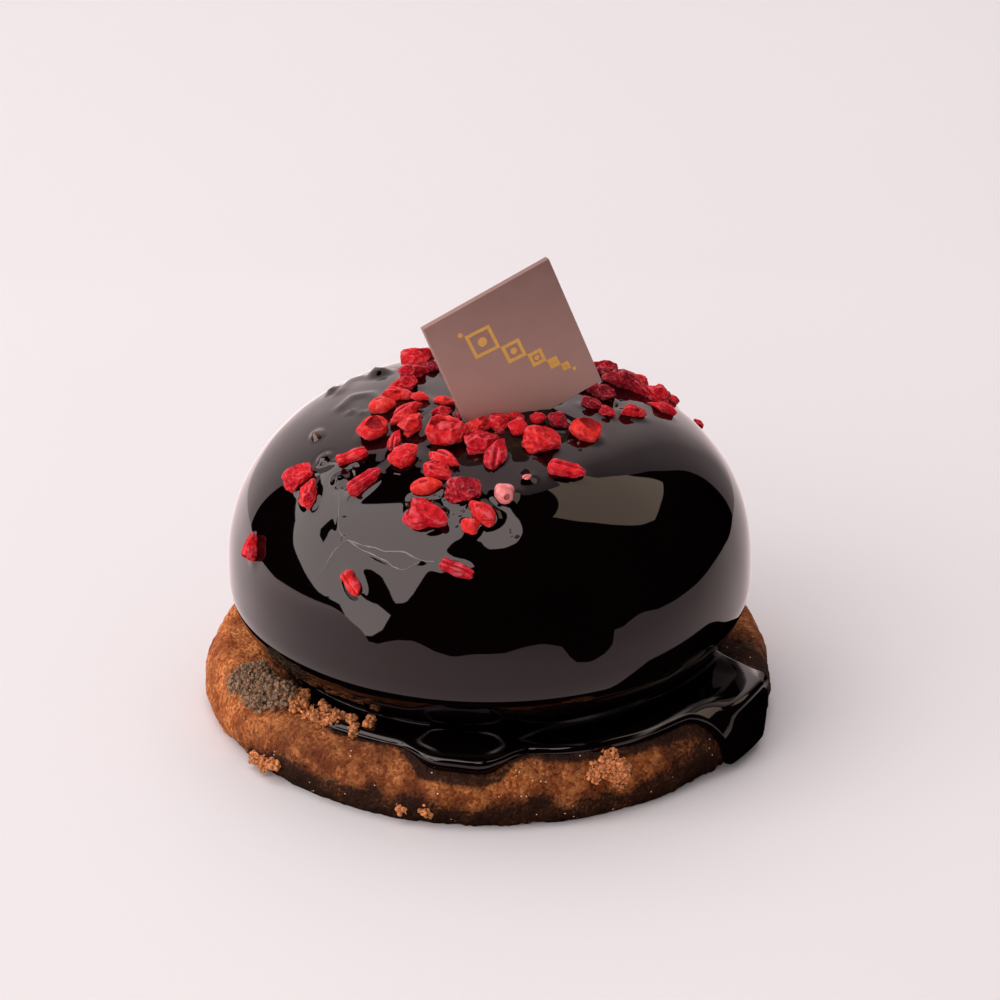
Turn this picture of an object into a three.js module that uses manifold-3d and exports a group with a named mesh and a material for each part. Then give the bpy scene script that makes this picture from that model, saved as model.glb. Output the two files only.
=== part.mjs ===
// A small glazed chocolate dome cake. A round crumb biscuit carries a dome under
// dark mirror glaze, the glaze has run out over the biscuit in a thick sheet,
// freeze-dried raspberry pieces are scattered over the top, and a square
// chocolate plaque stands among them on one corner.
//
// Millimetres, +Z up, front towards -Y. The origin is the centre of the
// biscuit's underside. A bearing is an angle in degrees seen from above: 0 is
// the front, and it grows towards +X.

import * as THREE from 'three';
import { mergeVertices } from 'three/addons/utils/BufferGeometryUtils.js';
import Module from 'manifold-3d';

const wasm = await Module();
wasm.setup();

// ---- Driving dimensions ----

const clearance = 0.3;            // air between two neighbouring pieces

const domeDiameter = 70;          // at the waist, with its glaze
const domeHeight = 44.25;         // top of the glaze above the table
const waistHeight = 18.8;
const upperRoundness = 2.47;      // superellipse power above the waist
const lowerRoundness = 2.17;      // and below it
const lowerDepth = 14.9;          // below the waist, where the lower curve would close

const biscuitHeight = 8.5;
const biscuitDiameter = 76.4;     // at its widest, low on the side
const biscuitWidestHeight = 3;
const biscuitTopDiameter = 69;    // flat part of the top
const biscuitFootDiameter = 74.4;
const biscuitCrag = 0.22;         // how far its grain stands in or out

const sheetStart = 24;            // distance from the axis, under the dome
const sheetThickness = 0.9;
const sheetFillet = 1.6;          // extra glaze drawn up against the dome
const flowFootHeight = 0.7;       // lowest glaze above the table
const browHeight = 9.7;           // the flow is level out to its brow and then falls steeply
const browOut = 39.5;

const plaqueSide = 19;
const plaqueThickness = 1.1;
const plaqueBevel = 0.1;
const plaqueCentre = new THREE.Vector3(3.05, -6.35, 52.37);   // of its front face
const plaqueYaw = 22;             // its right side is the farther one
const plaqueLean = 5.6;           // backwards
const plaqueRoll = 21.2;          // it stands on its lower corner

const topSunk = 0.13;             // share of a raspberry piece's size below the glaze

// ---- Small helpers ----

const radians = THREE.MathUtils.degToRad;

// Repeatable random numbers from 0 to 1.
function makeRandom(seed) {
  let state = seed;
  return () => {
    state = (Math.imul(state, 1664525) + 1013904223) >>> 0;
    return state / 4294967296;
  };
}

// A soft bump around a bearing: 1 in its middle, falling off over its width.
function lobe(bearing, middle, width) {
  const turn = ((bearing - middle + 540) % 360) - 180;
  return Math.exp(-((turn / width) ** 2));
}

// 0 below the first value, 1 above the second, smooth between them.
function rise(value, first, second) {
  return THREE.MathUtils.smoothstep(value, first, second);
}

function bearingOf(point) {
  return THREE.MathUtils.radToDeg(Math.atan2(point.x, -point.y));
}

function onBearing(out, bearing, height) {
  const angle = radians(bearing);
  return new THREE.Vector3(out * Math.sin(angle), -out * Math.cos(angle), height);
}

// Joins a geometry's doubled vertices, so that only its shape is left.
function welded(geometry) {
  geometry.deleteAttribute('normal');
  geometry.deleteAttribute('uv');
  return mergeVertices(geometry, 1e-4);
}

// Moves each vertex by a function that changes the point it is given.
function reshaped(geometry, move) {
  const place = geometry.getAttribute('position');
  const point = new THREE.Vector3();
  for (let i = 0; i < place.count; i++) {
    point.fromBufferAttribute(place, i);
    move(point);
    place.setXYZ(i, point.x, point.y, point.z);
  }
  return geometry;
}

// A profile of [distance from the axis, height] pairs, turned about +Z.
function turned(profile, segments) {
  const points = profile.map(([out, height]) => new THREE.Vector2(out, height));
  const lathe = new THREE.LatheGeometry(points, segments);
  lathe.rotateX(Math.PI / 2);
  return welded(lathe);
}

function solidOf(geometry) {
  const index = geometry.index.array;
  const triangles = [];
  for (let i = 0; i < index.length; i += 3) {
    const [a, b, c] = index.slice(i, i + 3);
    if (a !== b && b !== c && c !== a) triangles.push(a, b, c);
  }
  const mesh = new wasm.Mesh({
    numProp: 3,
    vertProperties: new Float32Array(geometry.getAttribute('position').array),
    triVerts: new Uint32Array(triangles),
  });
  return new wasm.Manifold(mesh);
}

function geometryOf(solid) {
  const mesh = solid.getMesh();
  const geometry = new THREE.BufferGeometry();
  geometry.setAttribute('position', new THREE.BufferAttribute(mesh.vertProperties, 3));
  geometry.setIndex(new THREE.BufferAttribute(mesh.triVerts, 1));
  geometry.computeVertexNormals();
  return geometry;
}

function joined(solids) {
  return solids.reduce((whole, solid) => whole.add(solid));
}

// The main body of a solid, without loose scraps and with sealed hollows filled.
function mainBody(solid) {
  const bodies = solid.decompose();
  return bodies.reduce((main, body) => (body.volume() > main.volume() ? body : main));
}

// ---- The dome's outline ----

const waist = domeDiameter / 2;
const crown = domeHeight - waistHeight;

// Height of the upper dome at a distance from the axis.
function domeHeightAt(out) {
  const share = Math.min(out / waist, 1);
  return waistHeight + crown * (1 - share ** upperRoundness) ** (1 / upperRoundness);
}

// Distance from the axis to the lower dome at a height.
function domeRadiusBelow(height) {
  const share = (waistHeight - height) / lowerDepth;
  return waist * (1 - share ** lowerRoundness) ** (1 / lowerRoundness);
}

// Outward direction of the upper dome's surface at a point on it.
function domeNormal(point) {
  const out = Math.hypot(point.x, point.y);
  const outward = (out / waist) ** (upperRoundness - 1) / waist;
  const upward = (Math.max(point.z - waistHeight, 0) / crown) ** (upperRoundness - 1) / crown;
  const normal = new THREE.Vector3(point.x / out * outward, point.y / out * outward, upward);
  return normal.normalize();
}

function domeSolid() {
  const foot = biscuitHeight + clearance;
  const profile = [[0, foot]];
  const lowerSteps = 6;
  for (let i = 0; i < lowerSteps; i++) {
    const height = foot + (waistHeight - foot) * Math.sin(radians(90 * i / lowerSteps));
    profile.push([domeRadiusBelow(height), height]);
  }
  const upperSteps = 14;
  for (let i = 0; i <= upperSteps; i++) {
    const angle = radians(90 * i / upperSteps);
    const out = waist * Math.cos(angle) ** (2 / upperRoundness);
    const height = waistHeight + crown * Math.sin(angle) ** (2 / upperRoundness);
    profile.push(i === upperSteps ? [0, domeHeight] : [out, height]);
  }
  return solidOf(turned(profile, 64));
}

// ---- The biscuit ----

const biscuitWidest = biscuitDiameter / 2;
const biscuitTop = biscuitTopDiameter / 2;

function biscuitRadiusAt(height) {
  if (height < biscuitWidestHeight) {
    const share = 1 - height / biscuitWidestHeight;
    return biscuitWidest - (biscuitDiameter - biscuitFootDiameter) / 2 * share ** 2;
  }
  const share = (height - biscuitWidestHeight) / (biscuitHeight - biscuitWidestHeight);
  return biscuitTop + (biscuitWidest - biscuitTop) * Math.sqrt(Math.max(1 - share ** 2, 0));
}

// Crumb heaps that broke off the edge: middle bearing, bearing spread, distance
// from the axis, spread of that, height, spread of that, crumb size, how many.
const crumbHeaps = [
  { bearing: -61, turn: 8, out: 34.6, depth: 1.5, height: 8.9, heap: 1.0, size: 3.2, count: 14 },
  { bearing: -45, turn: 16, out: 32.5, depth: 1.5, height: 9.2, heap: 0.6, size: 1.7, count: 34 },
  { bearing: 25, turn: 5, out: 37.0, depth: 1.0, height: 5.6, heap: 2.2, size: 2.6, count: 10 },
  { bearing: -51, turn: 4, out: 38.0, depth: 0.5, height: 1.9, heap: 0.6, size: 1.9, count: 4 },
  { bearing: -14, turn: 3, out: 38.0, depth: 0.4, height: 2.4, heap: 0.6, size: 1.7, count: 3 },
];

function crumbSolids(grown) {
  const random = makeRandom(7);
  const spread = (reach) => (random() * 2 - 1) * reach;
  const crumbs = [];
  for (const heap of crumbHeaps) {
    for (let i = 0; i < heap.count; i++) {
      const bearing = heap.bearing + spread(heap.turn);
      const out = heap.out + spread(heap.depth);
      const centre = onBearing(out, bearing, heap.height + spread(heap.heap));
      const radius = heap.size / 2 * (0.7 + 0.6 * random());
      const crumb = reshaped(welded(new THREE.IcosahedronGeometry(1, 0)), (point) => {
        point.multiplyScalar(radius * (0.8 + 0.4 * random()) + grown * 1.3).add(centre);
      });
      crumbs.push(solidOf(crumb));
    }
  }
  return crumbs;
}

// The biscuit, or with an allowance the space that the glaze leaves for it.
function biscuitSolid(grown) {
  const profile = [[0, 0]];
  const sideSteps = 7;
  for (let i = 0; i <= sideSteps; i++) {
    const height = biscuitHeight * Math.sin(radians(90 * i / sideSteps));
    profile.push([biscuitRadiusAt(height), height]);
  }
  profile.push([biscuitTop * 0.9, biscuitHeight], [0, biscuitHeight]);
  const random = makeRandom(3);
  const crag = () => (random() * 2 - 1) * biscuitCrag;
  const disc = reshaped(turned(profile, 64), (point) => {
    const out = Math.hypot(point.x, point.y);
    if (out === 0) {
      point.z += point.z > 1 ? grown : 0;
      return;
    }
    const angle = radians(bearingOf(point));
    const uneven = 0.25 * Math.sin(3 * angle + 1) + 0.2 * Math.sin(5 * angle + 2.4);
    const wider = (out + uneven + crag() + grown) / out;
    point.x *= wider;
    point.y *= wider;
    const rough = crag();
    if (point.z > biscuitCrag) point.z += rough + grown;
  });
  return mainBody(joined([solidOf(disc), ...crumbSolids(grown)]));
}

// ---- The glaze that ran out over the biscuit ----

const edgeRise = biscuitHeight - biscuitWidestHeight;
const edgeReach = biscuitWidest - biscuitTop;
const topRun = biscuitTop - sheetStart;
const edgeRun = Math.PI / 2 * Math.sqrt((edgeRise ** 2 + edgeReach ** 2) / 2);
const sideRun = biscuitWidestHeight - flowFootHeight;

// A place on the biscuit, so many millimetres from the sheet's start along its
// top, round its edge and down its side, and the outward direction there.
function ledgeAt(run) {
  if (run < topRun) return { out: sheetStart + run, height: biscuitHeight, lean: 90 };
  if (run < topRun + edgeRun) {
    const lean = 90 * (1 - (run - topRun) / edgeRun);
    return {
      out: biscuitTop + edgeReach * Math.cos(radians(lean)),
      height: biscuitWidestHeight + edgeRise * Math.sin(radians(lean)),
      lean,
    };
  }
  const down = Math.min(run - topRun - edgeRun, sideRun);
  return { out: biscuitWidest, height: biscuitWidestHeight - down, lean: 0 };
}

// How far the glaze ran at a bearing: a narrow collar at the back and left, a
// wide pool in front, one flat-topped drip over the edge and one flow down the
// side.
function sheetReach(bearing) {
  const pool = rise(bearing, -56, -36) * (1 - rise(bearing, 70, 86));
  const full = 2.4 * rise(bearing, 4, 24) * (1 - rise(bearing, 58, 72));
  const waves = 0.35 * Math.sin(radians(7 * bearing + 40)) + 0.25 * Math.sin(radians(13 * bearing));
  const drip = 4.2 * Math.exp(-(((bearing + 6.5) / 10.5) ** 4)) - 0.5 * lobe(bearing, 9, 4);
  const flow = 11.5 * Math.exp(-(Math.abs((bearing - 61) / 9.5) ** 3));
  return 5.7 + 4.2 * pool + full + waves + drip + flow;
}

// The thickness of the flow past the edge of the biscuit's top, where it stands
// level out to its brow.
function browed(body, bearing, past) {
  const lean = radians(THREE.MathUtils.clamp(90 * (1 - past / edgeRun), 5, 85));
  const level = (browHeight - biscuitWidestHeight) / Math.sin(lean) - edgeRise;
  const steep = (browOut - biscuitTop) / Math.cos(lean) - edgeReach;
  const brow = (level ** -6 + steep ** -6) ** (-1 / 6);
  const over = Math.exp(-(((bearing - 63.5) / 10) ** 4)) * rise(past, 0, 1);
  return body + over * Math.max(brow - body, 0);
}

// How thick it is, a share of the way out. The drip is a flat-topped drop that
// is thickest over the biscuit's edge, and the flow is a little fuller than the
// rest.
function sheetLift(bearing, share) {
  const past = Math.max(share * sheetReach(bearing) - topRun, 0);
  const drop = Math.exp(-(((bearing + 6.5) / 8.8) ** 6)) * rise(share, 0.38, 0.45);
  const drip = drop * (0.35 + 0.2 * past ** 1.5);
  const flow = 0.3 * rise(bearing, 14, 30) * (1 - rise(bearing, 72, 84)) * rise(share, 0.3, 0.75);
  const body = browed(sheetThickness + drip + flow, bearing, past);
  return body * Math.sqrt(1 - 0.9 * share ** 6) + sheetFillet * (1 - share) ** 3;
}

function sheetSolid() {
  const hub = 10;
  const upperShares = [0, 0.12, 0.3, 0.5, 0.7, 0.85, 0.94];
  const lowerShares = [0.85, 0.6, 0.3, 0];
  const sunk = 0.1;
  const profile = [
    ...upperShares.map((share) => [hub + share, 1]),
    [hub + 1, 0.6],
    ...lowerShares.map((share) => [hub + share, 0]),
  ];
  profile.push(profile[0]);
  profile.reverse();
  const sheet = reshaped(turned(profile, 80), (point) => {
    const share = Math.hypot(point.x, point.y) - hub;
    const layer = point.z;
    const bearing = bearingOf(point);
    const ledge = ledgeAt(share * sheetReach(bearing));
    const lift = layer * sheetLift(bearing, share) - (1 - layer) * sunk;
    const out = ledge.out + lift * Math.cos(radians(ledge.lean));
    point.copy(onBearing(out, bearing, ledge.height + lift * Math.sin(radians(ledge.lean))));
  });
  return solidOf(sheet);
}

// ---- The plaque ----

// Its own axes: x along its lower right edge, y along its lower left edge and
// z out of its front face.
function plaqueMatrix() {
  const facing = new THREE.Vector3(
    Math.sin(radians(plaqueYaw)) * Math.cos(radians(plaqueLean)),
    -Math.cos(radians(plaqueYaw)) * Math.cos(radians(plaqueLean)),
    Math.sin(radians(plaqueLean)),
  );
  const level = new THREE.Vector3(Math.cos(radians(plaqueYaw)), Math.sin(radians(plaqueYaw)), 0);
  const upward = new THREE.Vector3().crossVectors(facing, level);
  const matrix = new THREE.Matrix4().makeBasis(level, upward, facing);
  matrix.multiply(new THREE.Matrix4().makeRotationZ(radians(plaqueRoll)));
  return matrix.setPosition(plaqueCentre);
}

const plaquePlace = plaqueMatrix();

function squareShape(side) {
  const half = side / 2;
  const shape = new THREE.Shape();
  shape.moveTo(-half, -half);
  shape.lineTo(half, -half);
  shape.lineTo(half, half);
  shape.lineTo(-half, half);
  shape.closePath();
  return shape;
}

function plaqueGeometry() {
  const square = squareShape(plaqueSide - 2 * plaqueBevel);
  const plaque = new THREE.ExtrudeGeometry(square, {
    depth: plaqueThickness - 2 * plaqueBevel,
    bevelSize: plaqueBevel,
    bevelThickness: plaqueBevel,
    bevelSegments: 1,
  });
  return plaque.translate(0, 0, plaqueBevel - plaqueThickness);
}

// The slit that the plaque stands in, wider than it by the clearance all round.
function plaqueSlit() {
  const side = plaqueSide + 2 * clearance;
  const depth = plaqueThickness + 2 * clearance;
  const slit = new THREE.BoxGeometry(side, side, depth).translate(0, 0, -plaqueThickness / 2);
  return solidOf(welded(slit.applyMatrix4(plaquePlace)));
}

// ---- The raspberry pieces ----

// Pieces that stand out to the eye, as across (+X), forward (-Y), size, length
// over width, and turn in degrees on the surface they lie on.
const placedPieces = [
  // crowded round the plaque's foot
  [-9.6, -12.7, 4.4, 1.2, 70], [-10.1, -6.8, 3.4, 1.2, 40], [-11.2, -2.8, 3.4, 1.3, 20],
  [-12.3, 0.4, 3.8, 1.7, -20], [-9.4, 1.3, 2.6, 1.7, -30], [-14.0, 3.0, 3.5, 1.25, 0],
  [-11.0, 6.0, 4.4, 2, 38], [-9.9, 9.0, 3.9, 1.5, 80], [-12.2, 11.5, 3.2, 2.4, 70],
  [-15.1, 8.7, 3.9, 1.15, 25], [-6.0, 3.2, 3.1, 2, -40], [-6.1, 6.3, 2.4, 1.2, 0],
  [-5.7, 12.4, 5.1, 1.15, -8], [-6.6, 8.6, 2.0, 1.3, 30], [-1.6, 10.7, 3.4, 1.3, 70],
  [1.2, 9.4, 3.2, 1.3, 80], [-0.9, 14.7, 3.8, 1.1, 50], [0.9, 16.3, 4.6, 1.9, 72],
  [3.4, 8.0, 1.8, 1.3, 0], [3.7, 11.0, 3.5, 1.3, 75], [6.1, 8.4, 2.2, 1.2, 0],
  [6.6, 13.8, 4.3, 1.2, 15], [8.8, 8.5, 3.0, 1.1, 60], [12.3, 9.9, 4.0, 1.15, -15],
  // to the right of the plaque and behind it
  [15.3, 3.8, 1.9, 1.2, 0], [13.3, 2.4, 2.4, 1.3, 0], [14.8, -1.5, 3.4, 1.2, -10],
  [17.3, -7.5, 4.6, 1.3, 10], [19.4, -7.0, 3.2, 1.4, -20], [15.6, -14.5, 2.9, 1.2, 0],
  [18.4, 2.2, 3.3, 1.7, 15], [22.4, -7.0, 3.4, 1.1, 60], [22.9, -13.0, 2.4, 1.2, 60],
  [24.6, -13.0, 1.9, 1.4, 80], [22.6, -3.0, 3.3, 1.8, 0], [28.1, -13.5, 1.5, 1.4, -30],
  // scattered down the front
  [-17.6, 13.1, 4.3, 2.4, 10], [-15.9, 18.1, 4.9, 2.4, 27], [-10.9, 16.2, 4.2, 1.4, 25],
  [-5.7, 17.1, 3.9, 1.8, -42], [-6.9, 19.3, 3.1, 1.3, -20], [-8.0, 21.3, 4.0, 1.7, 3],
  [-3.4, 22.7, 4.0, 1.3, 5], [1.8, 23.1, 2.9, 1, 0], [-8.2, 25.2, 5.4, 1.25, -25],
  [-0.8, 25.6, 4.3, 1.4, -35], [-2.5, 27.0, 2.7, 1.2, 30], [-4.1, 30.8, 4.5, 2.4, -25],
  [-17.3, 28.1, 3.6, 1.9, -72], [9.8, 18.3, 4.7, 2.2, -6], [4.8, 20.0, 1.1, 1.4, 30],
  [-24.6, 12.3, 3.7, 1.3, 8], [-23.0, 16.0, 3.7, 1.8, 80], [-30.7, 14.1, 3.5, 1.4, 40],
];

// More of them by rule, between two bearings and two distances from the axis.
const strewnPieces = [
  { from: -60, to: 75, nearest: 4, farthest: 12, smallest: 1.3, largest: 2.1, count: 5 },
  { from: 100, to: 150, nearest: 8, farthest: 19, smallest: 2.2, largest: 4.0, count: 7 },
  { from: 150, to: 222, nearest: 5, farthest: 19, smallest: 2.0, largest: 4.2, count: 13 },
  { from: 130, to: 205, nearest: 19, farthest: 30, smallest: 1.8, largest: 3.6, count: 7 },
];

function onDome(across, forward) {
  return new THREE.Vector3(across, -forward, domeHeightAt(Math.hypot(across, forward)));
}

// True where a piece of this size keeps off the plaque.
const plaqueView = plaquePlace.clone().invert();
function clearOfPlaque(point, size) {
  const seen = point.clone().applyMatrix4(plaqueView);
  const room = clearance + size * 0.55;
  const beside = Math.max(Math.abs(seen.x), Math.abs(seen.y)) > plaqueSide / 2 + room;
  return beside || seen.z > room || seen.z < -plaqueThickness - room;
}

function piecePlan() {
  const plan = placedPieces.map(([across, forward, size, stretch, turn]) => (
    { point: onDome(across, forward), size, stretch, turn }
  ));
  const random = makeRandom(11);
  for (const zone of strewnPieces) {
    const wanted = plan.length + zone.count;
    for (let tries = 0; tries < zone.count * 40 && plan.length < wanted; tries++) {
      const bearing = zone.from + (zone.to - zone.from) * random();
      const out = zone.nearest + (zone.farthest - zone.nearest) * Math.sqrt(random());
      const size = zone.smallest + (zone.largest - zone.smallest) * random();
      const stretch = 1 + 0.9 * random();
      const turn = 180 * random();
      const flat = onBearing(out, bearing, 0);
      const point = onDome(flat.x, -flat.y);
      const apart = plan.every((other) => (
        other.point.distanceTo(point) > 0.46 * (other.size + size)
      ));
      if (apart && clearOfPlaque(point, size)) plan.push({ point, size, stretch, turn });
    }
  }
  return plan;
}

// A torn, dried lump that lies flat on the glaze and is sunk a little into it.
function pieceSolid({ point, size, stretch, turn }, number) {
  const random = makeRandom(100 + number);
  const detail = size > 4.2 ? 1 : 0;
  const length = size / 2;
  const width = length / stretch ** 0.9;
  const tall = size * 0.36 / stretch ** 0.5;
  const normal = domeNormal(point);
  const stand = new THREE.Quaternion().setFromUnitVectors(new THREE.Vector3(0, 0, 1), normal);
  const spin = new THREE.Quaternion().setFromAxisAngle(new THREE.Vector3(0, 0, 1), radians(turn));
  const facing = stand.multiply(spin);
  const centre = point.clone().addScaledVector(normal, tall - size * topSunk);
  const lump = reshaped(welded(new THREE.IcosahedronGeometry(1, detail)), (corner) => {
    corner.multiplyScalar(0.86 + 0.3 * random());
    corner.multiply(new THREE.Vector3(length, width, tall));
    corner.applyQuaternion(facing).add(centre);
  });
  return solidOf(lump);
}

// ---- The three sub-parts ----

function piece(name, geometry, colour, roughness) {
  const material = new THREE.MeshStandardMaterial({ color: colour, roughness, metalness: 0 });
  const mesh = new THREE.Mesh(geometry, material);
  mesh.name = name;
  return mesh;
}

const toppings = piecePlan().map(pieceSolid);
const glazed = joined([domeSolid(), sheetSolid(), ...toppings]);
const glazedDome = mainBody(glazed.subtract(biscuitSolid(clearance)).subtract(plaqueSlit()));

const cake = new THREE.Group();
cake.add(piece('biscuit_base', geometryOf(biscuitSolid(0)), 0x9a5a38, 0.9));
cake.add(piece('glazed_dome', geometryOf(glazedDome), 0x1a1012, 0.08));

const plaque = piece('chocolate_plaque', plaqueGeometry(), 0x82625c, 0.6);
plaque.applyMatrix4(plaquePlace);
cake.add(plaque);

export default cake;
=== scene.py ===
# %% [markdown]
# # A glazed chocolate dome cake with raspberry pieces
#
# This lesson dresses one small cake: a crumb biscuit, a dome under dark mirror
# glaze, dried raspberry pieces and a chocolate plaque. Lengths in it are in
# millimetres, and a mesh is turned to metres where it is made.

import math

import bmesh
import bpy
import numpy as np
from mathutils import Matrix, Quaternion, Vector


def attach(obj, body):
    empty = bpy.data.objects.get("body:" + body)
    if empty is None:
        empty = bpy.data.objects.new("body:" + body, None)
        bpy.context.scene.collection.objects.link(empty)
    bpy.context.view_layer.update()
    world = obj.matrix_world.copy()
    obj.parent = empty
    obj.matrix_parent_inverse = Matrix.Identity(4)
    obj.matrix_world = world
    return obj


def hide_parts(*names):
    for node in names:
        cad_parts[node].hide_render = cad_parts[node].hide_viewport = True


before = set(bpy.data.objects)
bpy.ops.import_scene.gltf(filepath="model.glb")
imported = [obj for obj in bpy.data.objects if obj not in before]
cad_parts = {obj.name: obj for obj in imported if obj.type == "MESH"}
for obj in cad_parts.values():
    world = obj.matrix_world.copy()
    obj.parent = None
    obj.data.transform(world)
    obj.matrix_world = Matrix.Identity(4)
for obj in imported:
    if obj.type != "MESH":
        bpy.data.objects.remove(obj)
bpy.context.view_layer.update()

# %% [markdown]
# ## Small tools
#
# Colours are written as sRGB hex, as a paint chip or a photo gives them, and
# one function turns them to the linear numbers that a socket takes. One more
# adds a node with its settings and links. With these two a material reads like
# a list of what the surface is.

# %% Colours and nodes
MILLIMETRE = 0.001


def linear(hexed):
    """An sRGB colour such as #a05030 as linear red, green, blue and alpha."""
    shares = [int(hexed[i:i + 2], 16) / 255 for i in (1, 3, 5)]
    return (*[s / 12.92 if s <= 0.04045 else ((s + 0.055) / 1.055) ** 2.4 for s in shares], 1)


def add_node(tree, kind, settings={}, inputs={}):
    """Adds a node, and links or fills each socket that inputs names or numbers."""
    node = tree.nodes.new(kind)
    for name, value in settings.items():
        setattr(node, name, value)
    for socket, value in inputs.items():
        if isinstance(value, bpy.types.NodeSocket):
            tree.links.new(value, node.inputs[socket])
        else:
            node.inputs[socket].default_value = value
    return node


def new_material(name):
    """An empty material, its node tree and its place on the object, as coordinates."""
    material = bpy.data.materials.new(name)
    material.use_nodes = True
    tree = material.node_tree
    tree.nodes.clear()
    place = add_node(tree, "ShaderNodeTexCoord").outputs["Object"]
    return material, tree, place


def per_metre(millimetres):
    """The texture scale that makes one pattern cell this many millimetres wide."""
    return 1 / (millimetres * MILLIMETRE)


print("linear mid grey", round(linear("#808080")[0], 3))

# %% [markdown]
# A closed skin is a stack of rings between two poles. Each ring has the same
# number of points, so the faces between two rings are quads, and a fan closes
# each pole. The signed volume says whether the faces point outwards. If they
# don't, the rings' order is turned round.

# %% Meshes from rings
def signed_volume(points, triangles):
    """Volume inside a closed mesh: negative where its faces point inwards."""
    a, b, c = (points[triangles[:, i]] for i in range(3))
    return np.einsum("ij,ij->", a, np.cross(b, c)) / 6


def ring_faces(rings, columns):
    """Quads between rings, then fans to the first and the last pole."""
    start = np.arange(rings - 1)[:, None] * columns
    here = np.arange(columns)[None, :]
    after = (here + 1) % columns
    quads = np.stack([start + here, start + columns + here,
                      start + columns + after, start + after], axis=-1).reshape(-1, 4)
    first_pole, last_pole = rings * columns, rings * columns + 1
    last = (rings - 1) * columns
    fans = [[first_pole, i, (i + 1) % columns] for i in range(columns)]
    fans += [[last_pole, last + (i + 1) % columns, last + i] for i in range(columns)]
    return quads, np.array(fans)


def make_mesh(name, points, faces, materials, smooth=True):
    """A mesh object from points in millimetres and lists of faces."""
    mesh = bpy.data.meshes.new(name)
    mesh.from_pydata((np.asarray(points) * MILLIMETRE).tolist(), [], faces)
    if smooth:
        mesh.shade_smooth()
    for material in materials:
        mesh.materials.append(material)
    piece = bpy.data.objects.new(name, mesh)
    bpy.context.scene.collection.objects.link(piece)
    return piece


def closed_skin(name, rings, first_pole, last_pole, material):
    """rings is an array of [ring, column, xyz]."""
    count, columns = rings.shape[:2]
    points = np.vstack([rings.reshape(-1, 3), first_pole, last_pole])
    quads, fans = ring_faces(count, columns)
    halves = np.vstack([quads[:, [0, 1, 2]], quads[:, [0, 2, 3]], fans])
    if signed_volume(points, halves) < 0:
        quads, fans = quads[:, ::-1], fans[:, ::-1]
    piece = make_mesh(name, points, quads.tolist() + fans.tolist(), [material])
    print(name, len(halves), "triangles", round(abs(signed_volume(points, halves)) / 1000, 1), "ml")
    return piece


def set_attribute(piece, name, values, kind="FLOAT"):
    """Stores a value at each point of a mesh, for its material or a node tree."""
    attribute = piece.data.attributes.new(name, kind, "POINT")
    key = "vector" if kind == "FLOAT_VECTOR" else "value"
    attribute.data.foreach_set(key, np.asarray(values).ravel())


# %% [markdown]
# Food is never even. Smooth noise on a lattice gives lumps of a chosen size,
# and the same seed always gives the same lumps. Strewn raspberry pieces are
# placed by a plain repeatable generator, so that they lie where the frame's
# pieces lie. Places round the cake are given as a bearing and a distance.

# %% Noise and chance
def lumps(points, cell, seed):
    """Smooth values from -1 to 1 that change over about one cell of millimetres."""
    place = np.asarray(points) / cell
    corner = np.floor(place).astype(np.int64)
    share = place - corner
    share = share * share * (3 - 2 * share)
    total = np.zeros(place.shape[:-1])
    for offset in np.ndindex(2, 2, 2):
        key = (corner + np.array(offset)) @ np.array([73856093, 19349663, 83492791])
        key = ((key + seed * 7919) * 2654435761) & 0xFFFFFFFF
        key = ((key ^ (key >> 15)) * 2246822519) & 0xFFFFFFFF
        value = ((key ^ (key >> 13)) & 0xFFFF) / 32767.5 - 1
        total += value * np.prod(np.where(offset, share, 1 - share), axis=-1)
    return total


def make_random(seed):
    """Repeatable numbers from 0 to 1, the same ones that the frame's source draws."""
    state = seed

    def draw():
        nonlocal state
        state = (state * 1664525 + 1013904223) & 0xFFFFFFFF
        return state / 4294967296
    return draw


def rise(value, first, second):
    """0 below the first value, 1 above the second, smooth between them."""
    share = np.clip((value - first) / (second - first), 0, 1)
    return share * share * (3 - 2 * share)


def lobe(bearing, middle, width):
    """A soft bump round a bearing."""
    return np.exp(-((signed_bearing(bearing - middle) / width) ** 2))


def on_bearing(out, bearing, height):
    """A point at a distance from the axis. A bearing of 0 is the front, and it grows towards +X."""
    angle = np.radians(bearing)
    return np.stack(np.broadcast_arrays(out * np.sin(angle), -out * np.cos(angle), height), axis=-1)


def signed_bearing(bearing):
    """The same bearing between -180 and 180."""
    return (bearing + 180) % 360 - 180


sample = lumps(np.random.default_rng(1).uniform(-40, 40, (1000, 3)), 5, 1)
print("noise from", round(sample.min(), 2), "to", round(sample.max(), 2))

# %% [markdown]
# ## Camera
#
# The cake is seen from about 25 degrees above the table with a long lens, so
# it shows little perspective.

# %% Camera
camera_aim = np.array([1.31, 3.17, 27.03])
camera_elevation = 25.5
camera_distance = 600
camera_lens = 161.1

steep = math.radians(camera_elevation)
camera = bpy.data.objects.new("camera", bpy.data.cameras.new("camera"))
bpy.context.scene.collection.objects.link(camera)
camera.data.lens = camera_lens
away = np.array([0, -math.cos(steep), math.sin(steep)])
camera.location = (camera_aim + away * camera_distance) * MILLIMETRE
camera.rotation_euler = (math.pi / 2 - steep, 0, 0)
camera.data.clip_start = 0.01     # metres
bpy.context.scene.camera = camera
print("camera at", [round(x, 3) for x in camera.location])

# %% [markdown]
# ## Table and light
#
# A mirror glaze has almost no colour of its own, so it looks like what stands
# round it. In a real studio the food stands on a white table with a white wall
# close behind, a tall window on the left and a dark room in front. Cards that
# only reflections see play these parts. The soft lamps that light the crumb
# and the fruit are left out of the reflections.
#
# The table that the eye sees is a plain pale floor. The glaze doesn't see it,
# because its own table is a card, with an edge where it is needed.

# %% Floor
floor_side = 4000
paint_unevenness = 90      # width of the patches in its paint


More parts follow.
